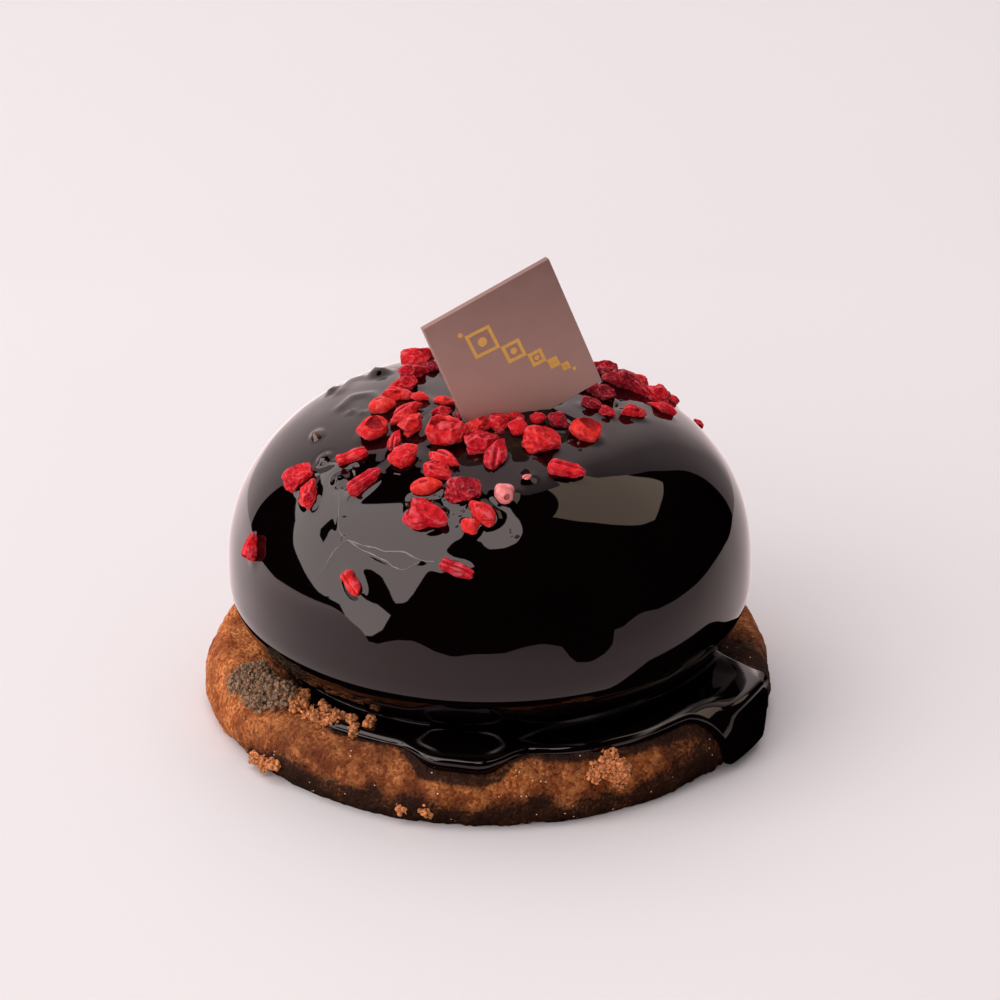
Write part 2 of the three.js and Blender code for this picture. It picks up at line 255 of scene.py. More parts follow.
def matt_paint(name, colour):
    """Matt paint, rolled on: one colour, a trace darker in wide patches, with hardly any shine."""
    material, tree, place = new_material(name)
    patches = add_node(tree, "ShaderNodeTexNoise", {},
                       {"Vector": place, "Scale": per_metre(paint_unevenness)})
    tone = add_node(tree, "ShaderNodeMix", {"data_type": "RGBA"},
                    {0: patches.outputs[0], 6: colour, 7: [c * 0.985 for c in colour[:3]] + [1]})
    shader = add_node(tree, "ShaderNodeBsdfPrincipled", {},
                      {"Base Color": tone.outputs[2], "Roughness": 0.9, "Specular IOR Level": 0.1})
    add_node(tree, "ShaderNodeOutputMaterial", {}, {"Surface": shader.outputs[0]})
    return material


half = floor_side / 2
floor_corners = [(-half, -half, 0), (half, -half, 0), (half, half, 0), (-half, half, 0)]
floor = make_mesh("floor", floor_corners, [[0, 1, 2, 3]],
                  [matt_paint("pale_table", linear("#ebe6e8"))], smooth=False)
floor.visible_glossy = False
print("floor", floor_side, "mm square")

# %% [markdown]
# A card is a flat or curved patch that gives off light, and only the glaze's
# reflections see it. The shapes in the glaze say what each card has to be, so
# the cards are laid out as they are seen from the cake: by bearing and distance
# on the table, and by bearing and elevation for what is far off. A table or a
# wall is brightest near the window that lights it, so a card's strength can
# change along a direction.

# %% Light cards
strongest_card = 4.0       # a colour ramp holds shares of this strength


def emitting(name, colour, strengths, toward=(1, 0, 0)):
    """A light card: its strength at each of several distances along a direction, in metres."""
    material, tree, place = new_material(name)
    along = add_node(tree, "ShaderNodeVectorMath", {"operation": "DOT_PRODUCT"}, {0: place, 1: toward})
    near, far = strengths[0][0], strengths[-1][0]
    share = add_node(tree, "ShaderNodeMapRange", {}, {0: along.outputs["Value"], 1: near, 2: far})
    curve = add_node(tree, "ShaderNodeValToRGB", {}, {0: share.outputs[0]})
    stops = curve.color_ramp.elements
    for at, strength in strengths[1:-1]:
        stops.new((at - near) / (far - near))
    for stop, (at, strength) in zip(stops, strengths):
        stop.color = (strength / strongest_card,) * 3 + (1,)
    glow = add_node(tree, "ShaderNodeMath", {"operation": "MULTIPLY"},
                    {0: curve.outputs[0], 1: strongest_card})
    light = add_node(tree, "ShaderNodeEmission", {}, {"Color": colour, "Strength": glow.outputs[0]})
    add_node(tree, "ShaderNodeOutputMaterial", {}, {"Surface": light.outputs[0]})
    return material


def only_reflected(card):
    """Hides a card from all but reflections."""
    for ray in ("camera", "diffuse", "transmission", "volume_scatter", "shadow"):
        setattr(card, f"visible_{ray}", False)
    return card


white = linear("#ffe9e9")
print("a card's strength goes up to", strongest_card)

# %% The table and the wall that the glaze reflects
# the unlit round of the table under the cake, and how much further it reaches on the right
table_opening, right_opening = 46, 22
wall_left, wall_right, wall_place, wall_height = -200, 170, 145, 900
low_wall_height = 225                     # of the wall's left part
# the table's front and side edge, as bearing and distance: things lie along it, so it isn't straight
table_edge = [(-126, 247), (-110, 205), (-97, 213), (-84, 300), (-67, 420), (-57, 208), (-46, 114),
              (-42, 113), (-34, 152), (-28, 164), (-18, 123), (-11, 111), (-5, 128), (6, 133), (15, 169),
              (19, 172), (26, 139), (27, 104), (30, 88), (35, 85), (41, 93), (45, 114), (48, 189),
              (52, 192), (61, 300), (68, 223), (78, 213), (89, 231), (107, 240), (120, 205), (130, 222)]
# strengths by the place along a direction, in metres: both are dim on the right, far from the window
table_strengths = [(-0.13, 1.7), (-0.10, 1.5), (-0.04, 1.22), (0.03, 0.94), (0.07, 0.82), (0.12, 0.68)]
table_fades_toward = (0.75, -0.66, 0)
wall_strengths = [(-0.17, 0.90), (-0.06, 1.12), (0.08, 1.12), (0.12, 0.48), (0.16, 0.36)]


def table_card(material):
    """A white table top. It is left out under the cake, and more so on the right, so that these parts
    of the cake reflect dark."""
    bearings = np.arange(-180, 180, 2.0)
    edge, reach = np.array(table_edge).T
    with np.errstate(divide="ignore"):
        behind = wall_place / np.abs(np.cos(np.radians(bearings)))
    past_edge = (bearings < edge[0]) | (bearings > edge[-1])
    outer = np.where(past_edge, behind, np.interp(bearings, edge, reach))
    inner = table_opening + right_opening * rise(bearings, 36, 56) * (1 - rise(bearings, 84, 110))
    above_floor = 0.02
    points = np.vstack([on_bearing(outer, bearings, above_floor), on_bearing(inner, bearings, above_floor)])
    count = len(bearings)
    faces = [[i, (i + 1) % count, count + (i + 1) % count, count + i] for i in range(count)]
    return make_mesh("table_card", points, faces, [material], smooth=False)


only_reflected(table_card(emitting("table_light", white, table_strengths, table_fades_toward)))
wall_outline = [(wall_left, 0), (wall_right, 0), (wall_right, wall_height), (-50, wall_height), (-85, 290),
                (-140, low_wall_height), (wall_left, low_wall_height)]
only_reflected(make_mesh("wall_card", [(x, wall_place, z) for x, z in wall_outline],
                         [list(range(len(wall_outline)))], [emitting("wall_light", white, wall_strengths)],
                         smooth=False))
print("wall", wall_right - wall_left, "mm wide", wall_place, "mm behind the cake")

# %% The window, the leaf and the light on the right
far_distance, leaf_distance = 2500, 2400
# the window's sill rises to the left, where something dark stands before it, and its light goes on
# over the ceiling; a dark branch crosses its left part, and its far end is cut off above
window_sill = [(-110, 22), (-99, 13), (-77, 2), (-71, 1), (-68, 25), (-61, 28), (-54, 27), (-48, 21),
               (-42, 12), (-36, 14), (-33, 24), (-31, 42), (-29, 58), (-27, 74), (-10, 74), (-5, 65),
               (-1, 62), (12, 62), (22, 64), (36, 70), (48, 76), (62, 81), (90, 85), (125, 86)]
window_top = 89
below_branch = [(-71, 1), (-66, 0), (-61, -10), (-57, -13), (-52, -12), (-47, -7), (-43, 3)]
branch = [(-71, 23), (-66, 15), (-61, 11), (-57, 8), (-51, 8), (-43, 3.5)]
far_end, far_end_top = [(-131, 27), (-125, 26), (-110, 22)], [(-131, 46), (-110, 50)]
# a dark leaf hangs before it: bearing and elevation along its outer and its inner side
leaf_outer = [(-88, 27), (-93.5, 28.5), (-97.5, 31.5), (-99.5, 35), (-101.5, 38.5), (-102, 42), (-100.5, 46)]
leaf_inner = [(-88, 27), (-90, 31), (-92, 33), (-93.5, 35), (-95, 38.3), (-98, 42), (-100.5, 46)]
side_foot, side_top = [(80, 62), (84, 52), (88, 46), (93, 41), (101, 36), (128, 35), (136, 46)], 70


def far_off(bearing, elevation, distance):
    """A point as it is seen from the cake, at a bearing and an elevation in degrees."""
    angle = np.radians(elevation)
    return on_bearing(distance * np.cos(angle), bearing, distance * np.sin(angle))


def sheet_faces(rows, columns):
    """Quads of an open sheet of rows of points."""
    return [[r * columns + c, r * columns + c + 1, (r + 1) * columns + c + 1, (r + 1) * columns + c]
            for r in range(rows - 1) for c in range(columns - 1)]


def far_patch(name, low_edge, top, material):
    """A patch of a large sphere: up from a line of (bearing, elevation) pairs to a top elevation, or to
    a top line of the same kind."""
    rows, columns = 13, 121
    turns, lows = np.array(low_edge).T
    bearing = np.linspace(turns[0], turns[-1], columns)
    low = np.interp(bearing, turns, lows)
    if isinstance(top, list):
        top = np.interp(bearing, *np.array(top).T)
    points = [far_off(bearing, low + (top - low) * share, far_distance) for share in np.linspace(0, 1, rows)]
    return make_mesh(name, np.vstack(points), sheet_faces(rows, columns), [material], smooth=False)


window_light = emitting("window_light", linear("#fff8f5"), [(-1, 3.3), (1, 3.3)])
for name, low, top in (("window_card", window_sill, window_top), ("window_foot_card", below_branch, branch),
                       ("window_end_card", far_end, far_end_top)):
    only_reflected(far_patch(name, low, top, window_light))
leaf_turns, leaf_rises = np.array(leaf_outer + leaf_inner).T
leaf_points = far_off(leaf_turns, leaf_rises, leaf_distance)
only_reflected(make_mesh("leaf_card", leaf_points, sheet_faces(2, len(leaf_outer)),
                         [emitting("unlit_leaf", white, [(-1, 0), (1, 0)])], smooth=False))
only_reflected(far_patch("side_card", side_foot, side_top,
                         emitting("side_light", linear("#ffeed4"), [(-1, 1.55), (1, 1.55)])))

# %% [markdown]
# The crumb and the fruit are matt, so they take their light from soft lamps: one
# overhead and a little behind, which also gives the pale ground its even light,
# one on the window's side and a low one in front. The world adds a dim grey from
# all round, and the eye sees it as the pale wall behind the table.

# %% Lamps and world
def soft_lamp(name, spot, aim, side, radiance, colour="#ffffff"):
    """A square lamp, placed in metres. Its power is its radiance times pi times its area."""
    data = bpy.data.lights.new(name, "AREA")
    data.shape, data.size = "SQUARE", side
    data.energy = radiance * math.pi * side * side
    data.color = linear(colour)[:3]
    lamp = bpy.data.objects.new(name, data)
    bpy.context.scene.collection.objects.link(lamp)
    lamp.location = spot
    lamp.rotation_euler = (Vector(aim) - Vector(spot)).to_track_quat("-Z", "Y").to_euler()
    lamp.visible_glossy = False
    return lamp


cake_middle = (0, 0, 0.02)     # metres
soft_lamp("overhead_lamp", (-0.15, 0.32, 0.95), cake_middle, 1.2, 1.60, "#fffafa")
soft_lamp("window_lamp", (-0.75, -0.35, 0.60), cake_middle, 0.9, 1.9, "#fffcfb")
soft_lamp("front_lamp", (-0.30, -0.92, 0.36), cake_middle, 0.6, 1.9, "#fff6f2")

world = bpy.data.worlds.new("studio")
bpy.context.scene.world = world
world.use_nodes = True
world.node_tree.nodes.clear()
ambient, horizon = linear("#9c9696"), linear("#efe5e6")
is_camera = add_node(world.node_tree, "ShaderNodeLightPath").outputs["Is Camera Ray"]
sky = add_node(world.node_tree, "ShaderNodeMix", {"data_type": "RGBA"},
               {0: is_camera, 6: ambient, 7: horizon})
glow = add_node(world.node_tree, "ShaderNodeBackground", {}, {"Color": sky.outputs[2]})
add_node(world.node_tree, "ShaderNodeOutputWorld", {}, {"Surface": glow.outputs[0]})
world.cycles_visibility.glossy = False
bpy.context.scene.view_settings.view_transform = "Standard"     # keeps the colours as they are mixed

# %% [markdown]
# ## The cake's outline
#
# The dome is a superellipse turned about the vertical axis: fuller than a
# ball, a little flat on top and drawn in below its waist. The biscuit is a
# round with a soft edge. These are the frame's own named sizes.

# %% Sizes of the dome and the biscuit
waist, waist_height, dome_top = 35.0, 18.8, 44.25
crown = dome_top - waist_height
upper_roundness, lower_roundness, lower_depth = 2.47, 2.17, 14.9
biscuit_height, biscuit_widest, biscuit_widest_height = 8.5, 38.2, 3.0
biscuit_top, biscuit_foot = 34.5, 37.2
edge_rise, edge_reach = biscuit_height - biscuit_widest_height, biscuit_widest - biscuit_top


def dome_height_at(out):
    """Height of the dome at a distance from its axis."""
    return waist_height + crown * (1 - np.minimum(out / waist, 1) ** upper_roundness) ** (1 / upper_roundness)


def dome_radius_below(height):
    """Distance of the dome's side from its axis, at a height below the waist."""
    share = (waist_height - height) / lower_depth
    return waist * (1 - share ** lower_roundness) ** (1 / lower_roundness)


def dome_normal(points):
    """Outward direction of the dome at each point, above and below the waist."""
    out = np.hypot(points[..., 0], points[..., 1])
    above = points[..., 2] >= waist_height
    power = np.where(above, upper_roundness, lower_roundness) - 1
    depth = np.where(above, crown, lower_depth)
    outward = (out / waist) ** power / waist
    upward = (np.abs(points[..., 2] - waist_height) / depth) ** power / depth * np.where(above, 1, -1)
    flat = points[..., :2] / np.maximum(out, 1e-6)[..., None]
    normal = np.concatenate([flat * outward[..., None], upward[..., None]], axis=-1)
    return normal / np.linalg.norm(normal, axis=-1, keepdims=True)


print("dome height at 20 mm out", round(float(dome_height_at(20)), 1))

# %% [markdown]
# ## Where the raspberry pieces lie
#
# The pieces are planned before the glaze is made, because the glaze was still
# wet when they fell on it and stands up round each one in a small collar.
# Those that stand out to the eye are placed one by one, and the others are
# strewn by rule between two bearings and two distances from the axis. The
# plan is the frame's own. The plaque comes first, because no piece may lie
# in it.

# %% The plaque's place
plaque_side, plaque_thickness = 19.0, 1.1
plaque_centre = Vector((3.05, -6.35, 52.37))
plaque_yaw, plaque_lean, plaque_roll = (math.radians(a) for a in (22, 5.6, 21.2))
clearance = 0.3

facing = Vector((math.sin(plaque_yaw) * math.cos(plaque_lean),
                 -math.cos(plaque_yaw) * math.cos(plaque_lean), math.sin(plaque_lean)))
level = Vector((math.cos(plaque_yaw), math.sin(plaque_yaw), 0))
axes = Matrix((level, facing.cross(level), facing)).transposed()
plaque_turn = axes @ Matrix.Rotation(plaque_roll, 3, "Z")
plaque_place = Matrix.Translation(plaque_centre) @ plaque_turn.to_4x4()
plaque_view = np.array(plaque_place.inverted())


def seen_from_plaque(points):
    """Points in the plaque's own axes: z is 0 on its face and negative in its body."""
    return np.asarray(points) @ plaque_view[:3, :3].T + plaque_view[:3, 3]


top_corner = plaque_place @ Vector((plaque_side / 2, plaque_side / 2, 0))
print("plaque top corner at", [round(x, 1) for x in top_corner])

# %% The plan of the raspberry pieces
# across (+X), forward (-Y), size, length over width, turn, shape and tint,
# which goes from -1, a dark crimson, past 1, bright coral, to 2, pale pink
placed_pieces = [
    # crowded round the plaque foot
    (-9.6, -12.7, 4.4, 1.2, 70, "torn", 0.1), (-10.1, -6.8, 3.4, 1.2, 40, "torn", -0.3),
    (-11.2, -2.8, 3.4, 1.3, 20, "torn", 0.2), (-12.3, 0.4, 3.8, 1.7, -20, "wedge", 0.4),
    (-9.4, 1.3, 2.6, 1.7, -30, "leaf", 0.5), (-14.0, 3.0, 3.5, 1.25, 0, "smooth", 1.0),
    (-11.0, 6.0, 4.4, 2.0, 38, "leaf", 0.2), (-9.9, 9.0, 3.9, 1.5, 80, "torn", 0.4),
    (-12.2, 11.5, 3.2, 2.4, 70, "leaf", 0.0), (-15.1, 8.7, 3.9, 1.15, 25, "cup", 0.4),
    (-6.0, 3.2, 3.1, 2.0, -40, "wedge", 0.7), (-6.1, 6.3, 2.4, 1.2, 0, "torn", -0.3),
    (-5.7, 12.4, 5.1, 1.15, -8, "ring", 0.3), (-6.6, 8.6, 2.0, 1.3, 30, "torn", -0.4),
    (-1.6, 10.7, 3.4, 1.3, 70, "torn", 0.4), (1.2, 9.4, 3.2, 1.3, 80, "torn", 0.2),
    (-0.9, 14.7, 3.8, 1.1, 50, "torn", -0.2), (0.9, 16.3, 4.6, 1.9, 72, "leaf", -0.2),
    (3.4, 8.0, 1.8, 1.3, 0, "torn", 0.0), (3.7, 11.0, 3.5, 1.3, 75, "lump", 0.2),
    (6.1, 8.4, 2.2, 1.2, 0, "lump", 0.2), (6.6, 13.8, 4.3, 1.2, 15, "torn", 0.3),
    (8.8, 8.5, 3.0, 1.1, 60, "lump", -0.9), (12.3, 9.9, 4.0, 1.15, -15, "cup", 0.6),
    # to the right of the plaque and behind it
    (15.3, 3.8, 1.9, 1.2, 0, "torn", -0.1), (13.3, 2.4, 2.4, 1.3, 0, "torn", -0.7),
    (14.8, -1.5, 3.4, 1.2, -10, "torn", -0.9), (17.3, -7.5, 4.6, 1.3, 10, "lump", -0.8),
    (19.4, -7.0, 3.2, 1.4, -20, "torn", -0.6), (15.6, -14.5, 2.9, 1.2, 0, "torn", -0.4),
    (18.4, 2.2, 3.3, 1.7, 15, "wedge", 0.1), (22.4, -7.0, 3.4, 1.1, 60, "torn", -0.1),
    (22.9, -13.0, 2.4, 1.2, 60, "lump", 0.1), (24.6, -13.0, 1.9, 1.4, 80, "torn", 0.2),
    (22.6, -3.0, 3.3, 1.8, 0, "leaf", -0.2), (28.1, -13.5, 1.5, 1.4, -30, "torn", 0.2),
    # scattered down the front
    (-17.6, 13.1, 4.3, 2.4, 10, "rod", 0.2), (-15.9, 18.1, 4.9, 2.4, 27, "rod", -0.2),
    (-10.9, 16.2, 4.2, 1.4, 25, "lump", 0.3), (-5.7, 17.1, 3.9, 1.8, -42, "leaf", 0.3),
    (-6.9, 19.3, 3.1, 1.3, -20, "torn", 0.2), (-8.0, 21.3, 4.0, 1.7, 3, "smooth", 0.8),
    (-3.4, 22.7, 4.0, 1.3, 5, "torn", -0.7), (1.8, 23.1, 2.9, 1.0, 0, "knob", 1.75),
    (-8.2, 25.2, 5.4, 1.25, -25, "wedge", 0.0), (-0.8, 25.6, 4.3, 1.4, -35, "lump", 0.4),
    (-2.5, 27.0, 2.7, 1.2, 30, "lump", 0.5), (-4.1, 30.8, 4.5, 2.4, -25, "rod", -0.4),
    (-17.3, 28.1, 3.6, 1.9, -72, "rod", 0.4), (9.8, 18.3, 4.7, 2.2, -6, "rod", 0.1),
    (4.8, 20.0, 1.1, 1.4, 30, "leaf", 1.7), (-24.6, 12.3, 3.7, 1.3, 8, "torn", 0.1),
    (-23.0, 16.0, 3.7, 1.8, 80, "torn", 0.2), (-30.7, 14.1, 3.5, 1.4, 40, "wedge", 0.0),
]
# from bearing, to bearing, nearest, farthest, smallest, largest, how many
strewn_pieces = [(-60, 75, 4, 12, 1.3, 2.1, 5), (100, 150, 8, 19, 2.2, 4.0, 7),
                 (150, 222, 5, 19, 2.0, 4.2, 13), (130, 205, 19, 30, 1.8, 3.6, 7)]
strewn_shapes = ["torn", "lump", "wedge", "leaf", "torn", "rod", "cup", "smooth"]
overlap_share = 0.46       # of two pieces' sizes together: nearer than this, the second isn't laid
tries_each = 40


def clear_of_plaque(point, size):
    """Whether a piece of this size leaves the plaque free."""
    x, y, z = seen_from_plaque(point)
    room = clearance + size * 0.55
    beside = max(abs(x), abs(y)) > plaque_side / 2 + room
    return beside or z > room or z < -plaque_thickness - room


def on_dome(across, forward):
    """The point of the dome this far to the right of its axis and towards the front."""
    return np.array([across, -forward, float(dome_height_at(math.hypot(across, forward)))])


def piece_plan():
    """Every piece's place, size, length over width, turn, shape and tint, the placed ones first."""
    plan = [dict(point=on_dome(a, f), size=s, stretch=st, turn=t, shape=kind, tint=tint)
            for a, f, s, st, t, kind, tint in placed_pieces]
    draw = make_random(11)
    for low, high, nearest, farthest, smallest, largest, count in strewn_pieces:
        wanted = len(plan) + count
        for _ in range(count * tries_each):
            if len(plan) >= wanted:
                break
            bearing = low + (high - low) * draw()
            out = nearest + (farthest - nearest) * math.sqrt(draw())
            size = smallest + (largest - smallest) * draw()
            stretch = 1 + 0.9 * draw()
            turn = 180 * draw()
            x, y, _ = on_bearing(out, bearing, 0)
            point = on_dome(x, -y)
            apart = all(np.linalg.norm(p["point"] - point) > overlap_share * (p["size"] + size) for p in plan)
            if apart and clear_of_plaque(point, size):
                number = len(plan)
                plan.append(dict(point=point, size=size, stretch=stretch, turn=turn,
                                 shape=strewn_shapes[number % len(strewn_shapes)],
                                 tint=0.9 * math.sin(number * 2.4) - 0.2))
    return plan


pieces = piece_plan()
print(len(pieces), "raspberry pieces")

# %% How a piece lies
piece_tall, piece_sunk = 0.36, 0.13     # half its height and how deep it sits, as shares of its size


def stand_of(piece):
    """How a piece is turned: its z is the glaze's outward direction, and it is spun about that."""
    normal = Vector(dome_normal(piece["point"]))
    stand = Vector((0, 0, 1)).rotation_difference(normal)
    return stand @ Quaternion((0, 0, 1), math.radians(piece["turn"]))


def half_sizes(piece):
    """Half of a piece's length, width and height: a long one is also narrow and low."""
    length = piece["size"] / 2
    return length, length / piece["stretch"] ** 0.9, piece["size"] * piece_tall / piece["stretch"] ** 0.5


print("the first piece's half sizes", [round(x, 2) for x in half_sizes(pieces[0])])

# %% [markdown]
# ## Mirror glaze
#
# Mirror glaze is a syrup of cocoa, sugar, glucose and gelatine. It is poured
# over the frozen dome warm, runs down it and sets to a skin like wet glass.
# It is almost black, so all that shows is its shine, and that shows every
# dent: low waves where it ran, flakes of chocolate caught in it, thin
# creases where it was already setting, and a collar round each thing on it.
#
# The dome and the sheet that ran out under it are one skin, so they are one
# stack of rings: over the dome, round the hollow where it meets the biscuit,
# out over the biscuit's top and over its edge. All of the relief is real
# depth in the mesh, because a mirror shows a bumped normal map as false.

# %% Flakes and creases in the glaze
# across, forward, radius, height: flakes and beads caught under the glaze
glaze_flakes = [(-22.7, 4.4, 0.95, 0.55), (-21.1, -9.9, 1.0, 0.55), (-14.7, -10.8, 1.3, 0.9),
                (-18.3, 1.3, 0.5, 0.35), (-16.8, 2.5, 0.5, 0.35), (-21.5, 10.7, 0.9, 0.35),
                (-19.3, 15.9, 1.0, 0.45), (-18.1, 13.3, 0.4, 0.2), (-17.6, 1.9, 0.35, 0.2),
                (-6.0, 24.9, 0.5, 0.2)]
# lines of [across, forward] points, height and width: creases and ripples
glaze_creases = [
    ([(-19.4, 17.7), (-19.4, 20.3), (-19.5, 22.4), (-18.3, 24.1)], 0.03, 0.35),
    ([(-18.3, 24.1), (-16.8, 25.3), (-15.3, 26.2), (-13.5, 27.3), (-10.6, 28.2), (-8.8, 29.4),
      (-6.7, 29.8)], 0.06, 0.35),
    ([(-18.3, 24.1), (-16.5, 25.9), (-14.7, 27.2), (-12.9, 28.4), (-11.1, 29.6), (-8.8, 29.4)], 0.05, 0.35),
    ([(-18.3, 24.1), (-19.7, 24.4), (-21.5, 24.9)], 0.03, 0.35),
    ([(-20.1, -7.8), (-18.6, -13.0), (-15.9, -11.2)], 0.30, 0.80),
    ([(-19.8, -1.2), (-18.2, -3.9), (-15.9, -3.0), (-14.6, -0.6)], 0.28, 0.70),
    ([(-22.3, 11.4), (-20.4, 12.0), (-18.8, 13.0), (-16.6, 14.6)], 0.12, 0.50),
]


def line_distance(points, line):
    """Distance from each point to the nearest place on a line of corners."""
    nearest = np.full(points.shape[:-1], 1e9)
    for start, end in zip(line, line[1:]):
        run = end - start
        share = np.clip(((points - start) @ run) / (run @ run), 0, 1)
        nearest = np.minimum(nearest, np.linalg.norm(points - start - share[..., None] * run, axis=-1))
    return nearest


print(len(glaze_flakes), "flakes under the glaze and", len(glaze_creases), "creases in it")

# %% Relief of the glaze
piece_collar, plaque_collar = 0.20, 0.45      # how high the glaze climbs
piece_collar_reach, plaque_collar_reach = 0.45, 0.7


def collars(points):
    """How far the wet glaze climbs round each raspberry piece and round the plaque."""
    climb = np.zeros(points.shape[:-1])
    for piece in pieces:
        local = (points - piece["point"]) @ np.array(stand_of(piece).to_matrix())
        length, width = (0.9 * half for half in half_sizes(piece)[:2])
        gap = (np.hypot(local[..., 0] / length, local[..., 1] / width) - 1) * width
        collar = piece_collar * np.exp(-(np.maximum(gap, 0) / piece_collar_reach) ** 1.5)
        near = np.abs(local[..., 2]) < piece["size"]
        climb = np.maximum(climb, np.where(near, collar, 0))
    local = seen_from_plaque(points)
    off = np.maximum(np.abs(local[..., :2]) - plaque_side / 2, 0)
    behind = np.maximum(np.maximum(local[..., 2], -plaque_thickness - local[..., 2]), 0)
    gap = np.sqrt((off ** 2).sum(axis=-1) + behind ** 2)
    return np.maximum(climb, plaque_collar * np.exp(-(gap / plaque_collar_reach) ** 1.3))


def glaze_relief(points):
    """How far the glaze stands off the plain dome: waves, flakes under it, creases and collars."""
    upper = rise(points[..., 2], waist_height - 6, waist_height + 8)
    height = 0.15 * lumps(points, 11, 21) * (0.45 + 0.55 * upper) + 0.03 * lumps(points, 4.5, 22) * upper
    for across, forward, radius, tall in glaze_flakes:
        away = np.linalg.norm(points - on_dome(across, forward), axis=-1) / radius
        ragged = 1 + 0.35 * lumps(points, 0.8, 31)
        height = height + tall * ragged * np.exp(-away ** 3) - 0.04 * np.exp(-((away - 1.7) / 0.4) ** 2)
    for line, tall, wide in glaze_creases:
        away = line_distance(points, [on_dome(a, f) for a, f in line])
        height = height + tall * np.exp(-(away / wide) ** 2)
    return height + collars(points)


plaque_foot = on_dome(plaque_centre.x, -plaque_centre.y)[None]
print("the glaze stands", round(float(glaze_relief(plaque_foot)[0]), 2), "mm high at the plaque's foot")

# %% Even lines
def even_line(corners, step):
    """Points an even step apart along a line of corners, and how far along each one is."""
    corners = np.array(corners, float)
    run = np.concatenate([[0], np.cumsum(np.linalg.norm(np.diff(corners, axis=0), axis=1))])
    place = np.linspace(0, run[-1], round(run[-1] / step) + 1)
    return np.stack([np.interp(place, run, corner) for corner in corners.T], axis=-1), place


def softened(corners, step, reach):
    """The same line with its corners rounded over about this reach."""
    line, place = even_line(corners, step)
    share = np.exp(-((place[:, None] - place[None, :]) / reach) ** 2)
    ends = np.minimum(place, place[-1] - place)[:, None]
    share = np.where(np.abs(place[:, None] - place[None, :]) <= ends + 1e-6, share, 0)
    return share @ line / share.sum(axis=1, keepdims=True)


print("10 mm in steps of about 3:", even_line([(0, 0), (10, 0)], 3)[1].round(2).tolist())

# %% [markdown]
# The glaze that ran down the dome spread over the biscuit's top. A point of
# that sheet is named by its bearing and by its run, which is how far the glaze
# has run since 24 mm from the axis: along the top, round the edge and down the
# side. It ran furthest in one round drip at the front and in one long flow on
# the right, which went over the edge.

# %% The sheet that ran out
sheet_start, sheet_thickness, sheet_fillet = 24.0, 0.9, 0.9
junction_run = 5           # where the sheet's thickness is taken for its junction with the dome
rim_width = 0.9
top_run = biscuit_top - sheet_start
edge_run = math.pi / 2 * math.sqrt((edge_rise ** 2 + edge_reach ** 2) / 2)
flow_foot = 0.7
whole_run = top_run + edge_run + biscuit_widest_height - flow_foot
drip_bearing, flow_bearing = -6.5, 61
brow_bearing, brow_height, brow_out = 63.5, 9.7, 39.5     # where the flow goes over the edge


def sheet_reach(bearing):
    """How far the glaze ran: a narrow collar behind, a pool in front, one drip and one long flow."""
    pool = rise(bearing, -56, -36) * (1 - rise(bearing, 70, 86))
    waves = 0.35 * np.sin(np.radians(7 * bearing + 40)) + 0.25 * np.sin(np.radians(13 * bearing))
    drip = 4.2 * np.exp(-((bearing - drip_bearing) / 10.5) ** 4) - 0.5 * lobe(bearing, 9, 4)
    flow = 11.5 * np.exp(-np.abs((bearing - flow_bearing) / 9.5) ** 3)
    full = 2.4 * rise(bearing, 4, 24) * (1 - rise(bearing, 58, 72))
    return np.minimum(5.7 + 4.2 * pool + full + waves + drip + flow, whole_run)


def sheet_body(bearing, run, reach):
    """Thickness of the sheet. The drip is a flat-topped drop, the flow is fuller than the rest, and where
    it goes over the edge it stays level out to its brow and then falls steeply."""
    share = run / reach
    past = np.maximum(run - top_run, 0)
    plateau = np.exp(-((bearing - drip_bearing) / 8.8) ** 6) * rise(share, 0.38, 0.45)
    drip = plateau * (0.35 + 0.20 * past ** 1.5)
    flow = 0.3 * rise(bearing, 14, 30) * (1 - rise(bearing, 72, 84)) * rise(share, 0.3, 0.75)
    body = sheet_thickness + drip + flow
    lean = np.radians(np.clip(90 * (1 - past / edge_run), 5, 85))
    level = (brow_height - biscuit_widest_height) / np.sin(lean) - edge_rise
    steep = (brow_out - biscuit_top) / np.cos(lean) - edge_reach
    brow = (level ** -6 + steep ** -6) ** (-1 / 6)
    over = np.exp(-((bearing - brow_bearing) / 10) ** 4) * rise(past, 0, 1)
    return body + over * np.maximum(brow - body, 0)


def on_ledge(run, lift, bearing):
    """A point so far along the biscuit's top, round its edge and down its side, lifted off it."""
    lean = np.where(run < top_run, 90, np.clip(90 * (1 - (run - top_run) / edge_run), 0, 90))
    turn = np.radians(lean)
    out = np.where(run < top_run, sheet_start + run, biscuit_top + edge_reach * np.cos(turn))
    height = np.where(run < top_run, biscuit_height, biscuit_widest_height + edge_rise * np.sin(turn))
    height = height - np.maximum(run - top_run - edge_run, 0)
    return on_bearing(out + lift * np.cos(turn), bearing, height + lift * np.sin(turn))


print("the drip ran", round(float(sheet_reach(drip_bearing)), 1), "mm, the flow", round(whole_run, 1), "mm")

# %% Rings of the glaze
glaze_sunk = 0.25          # how far the sheet's underside reaches into the biscuit


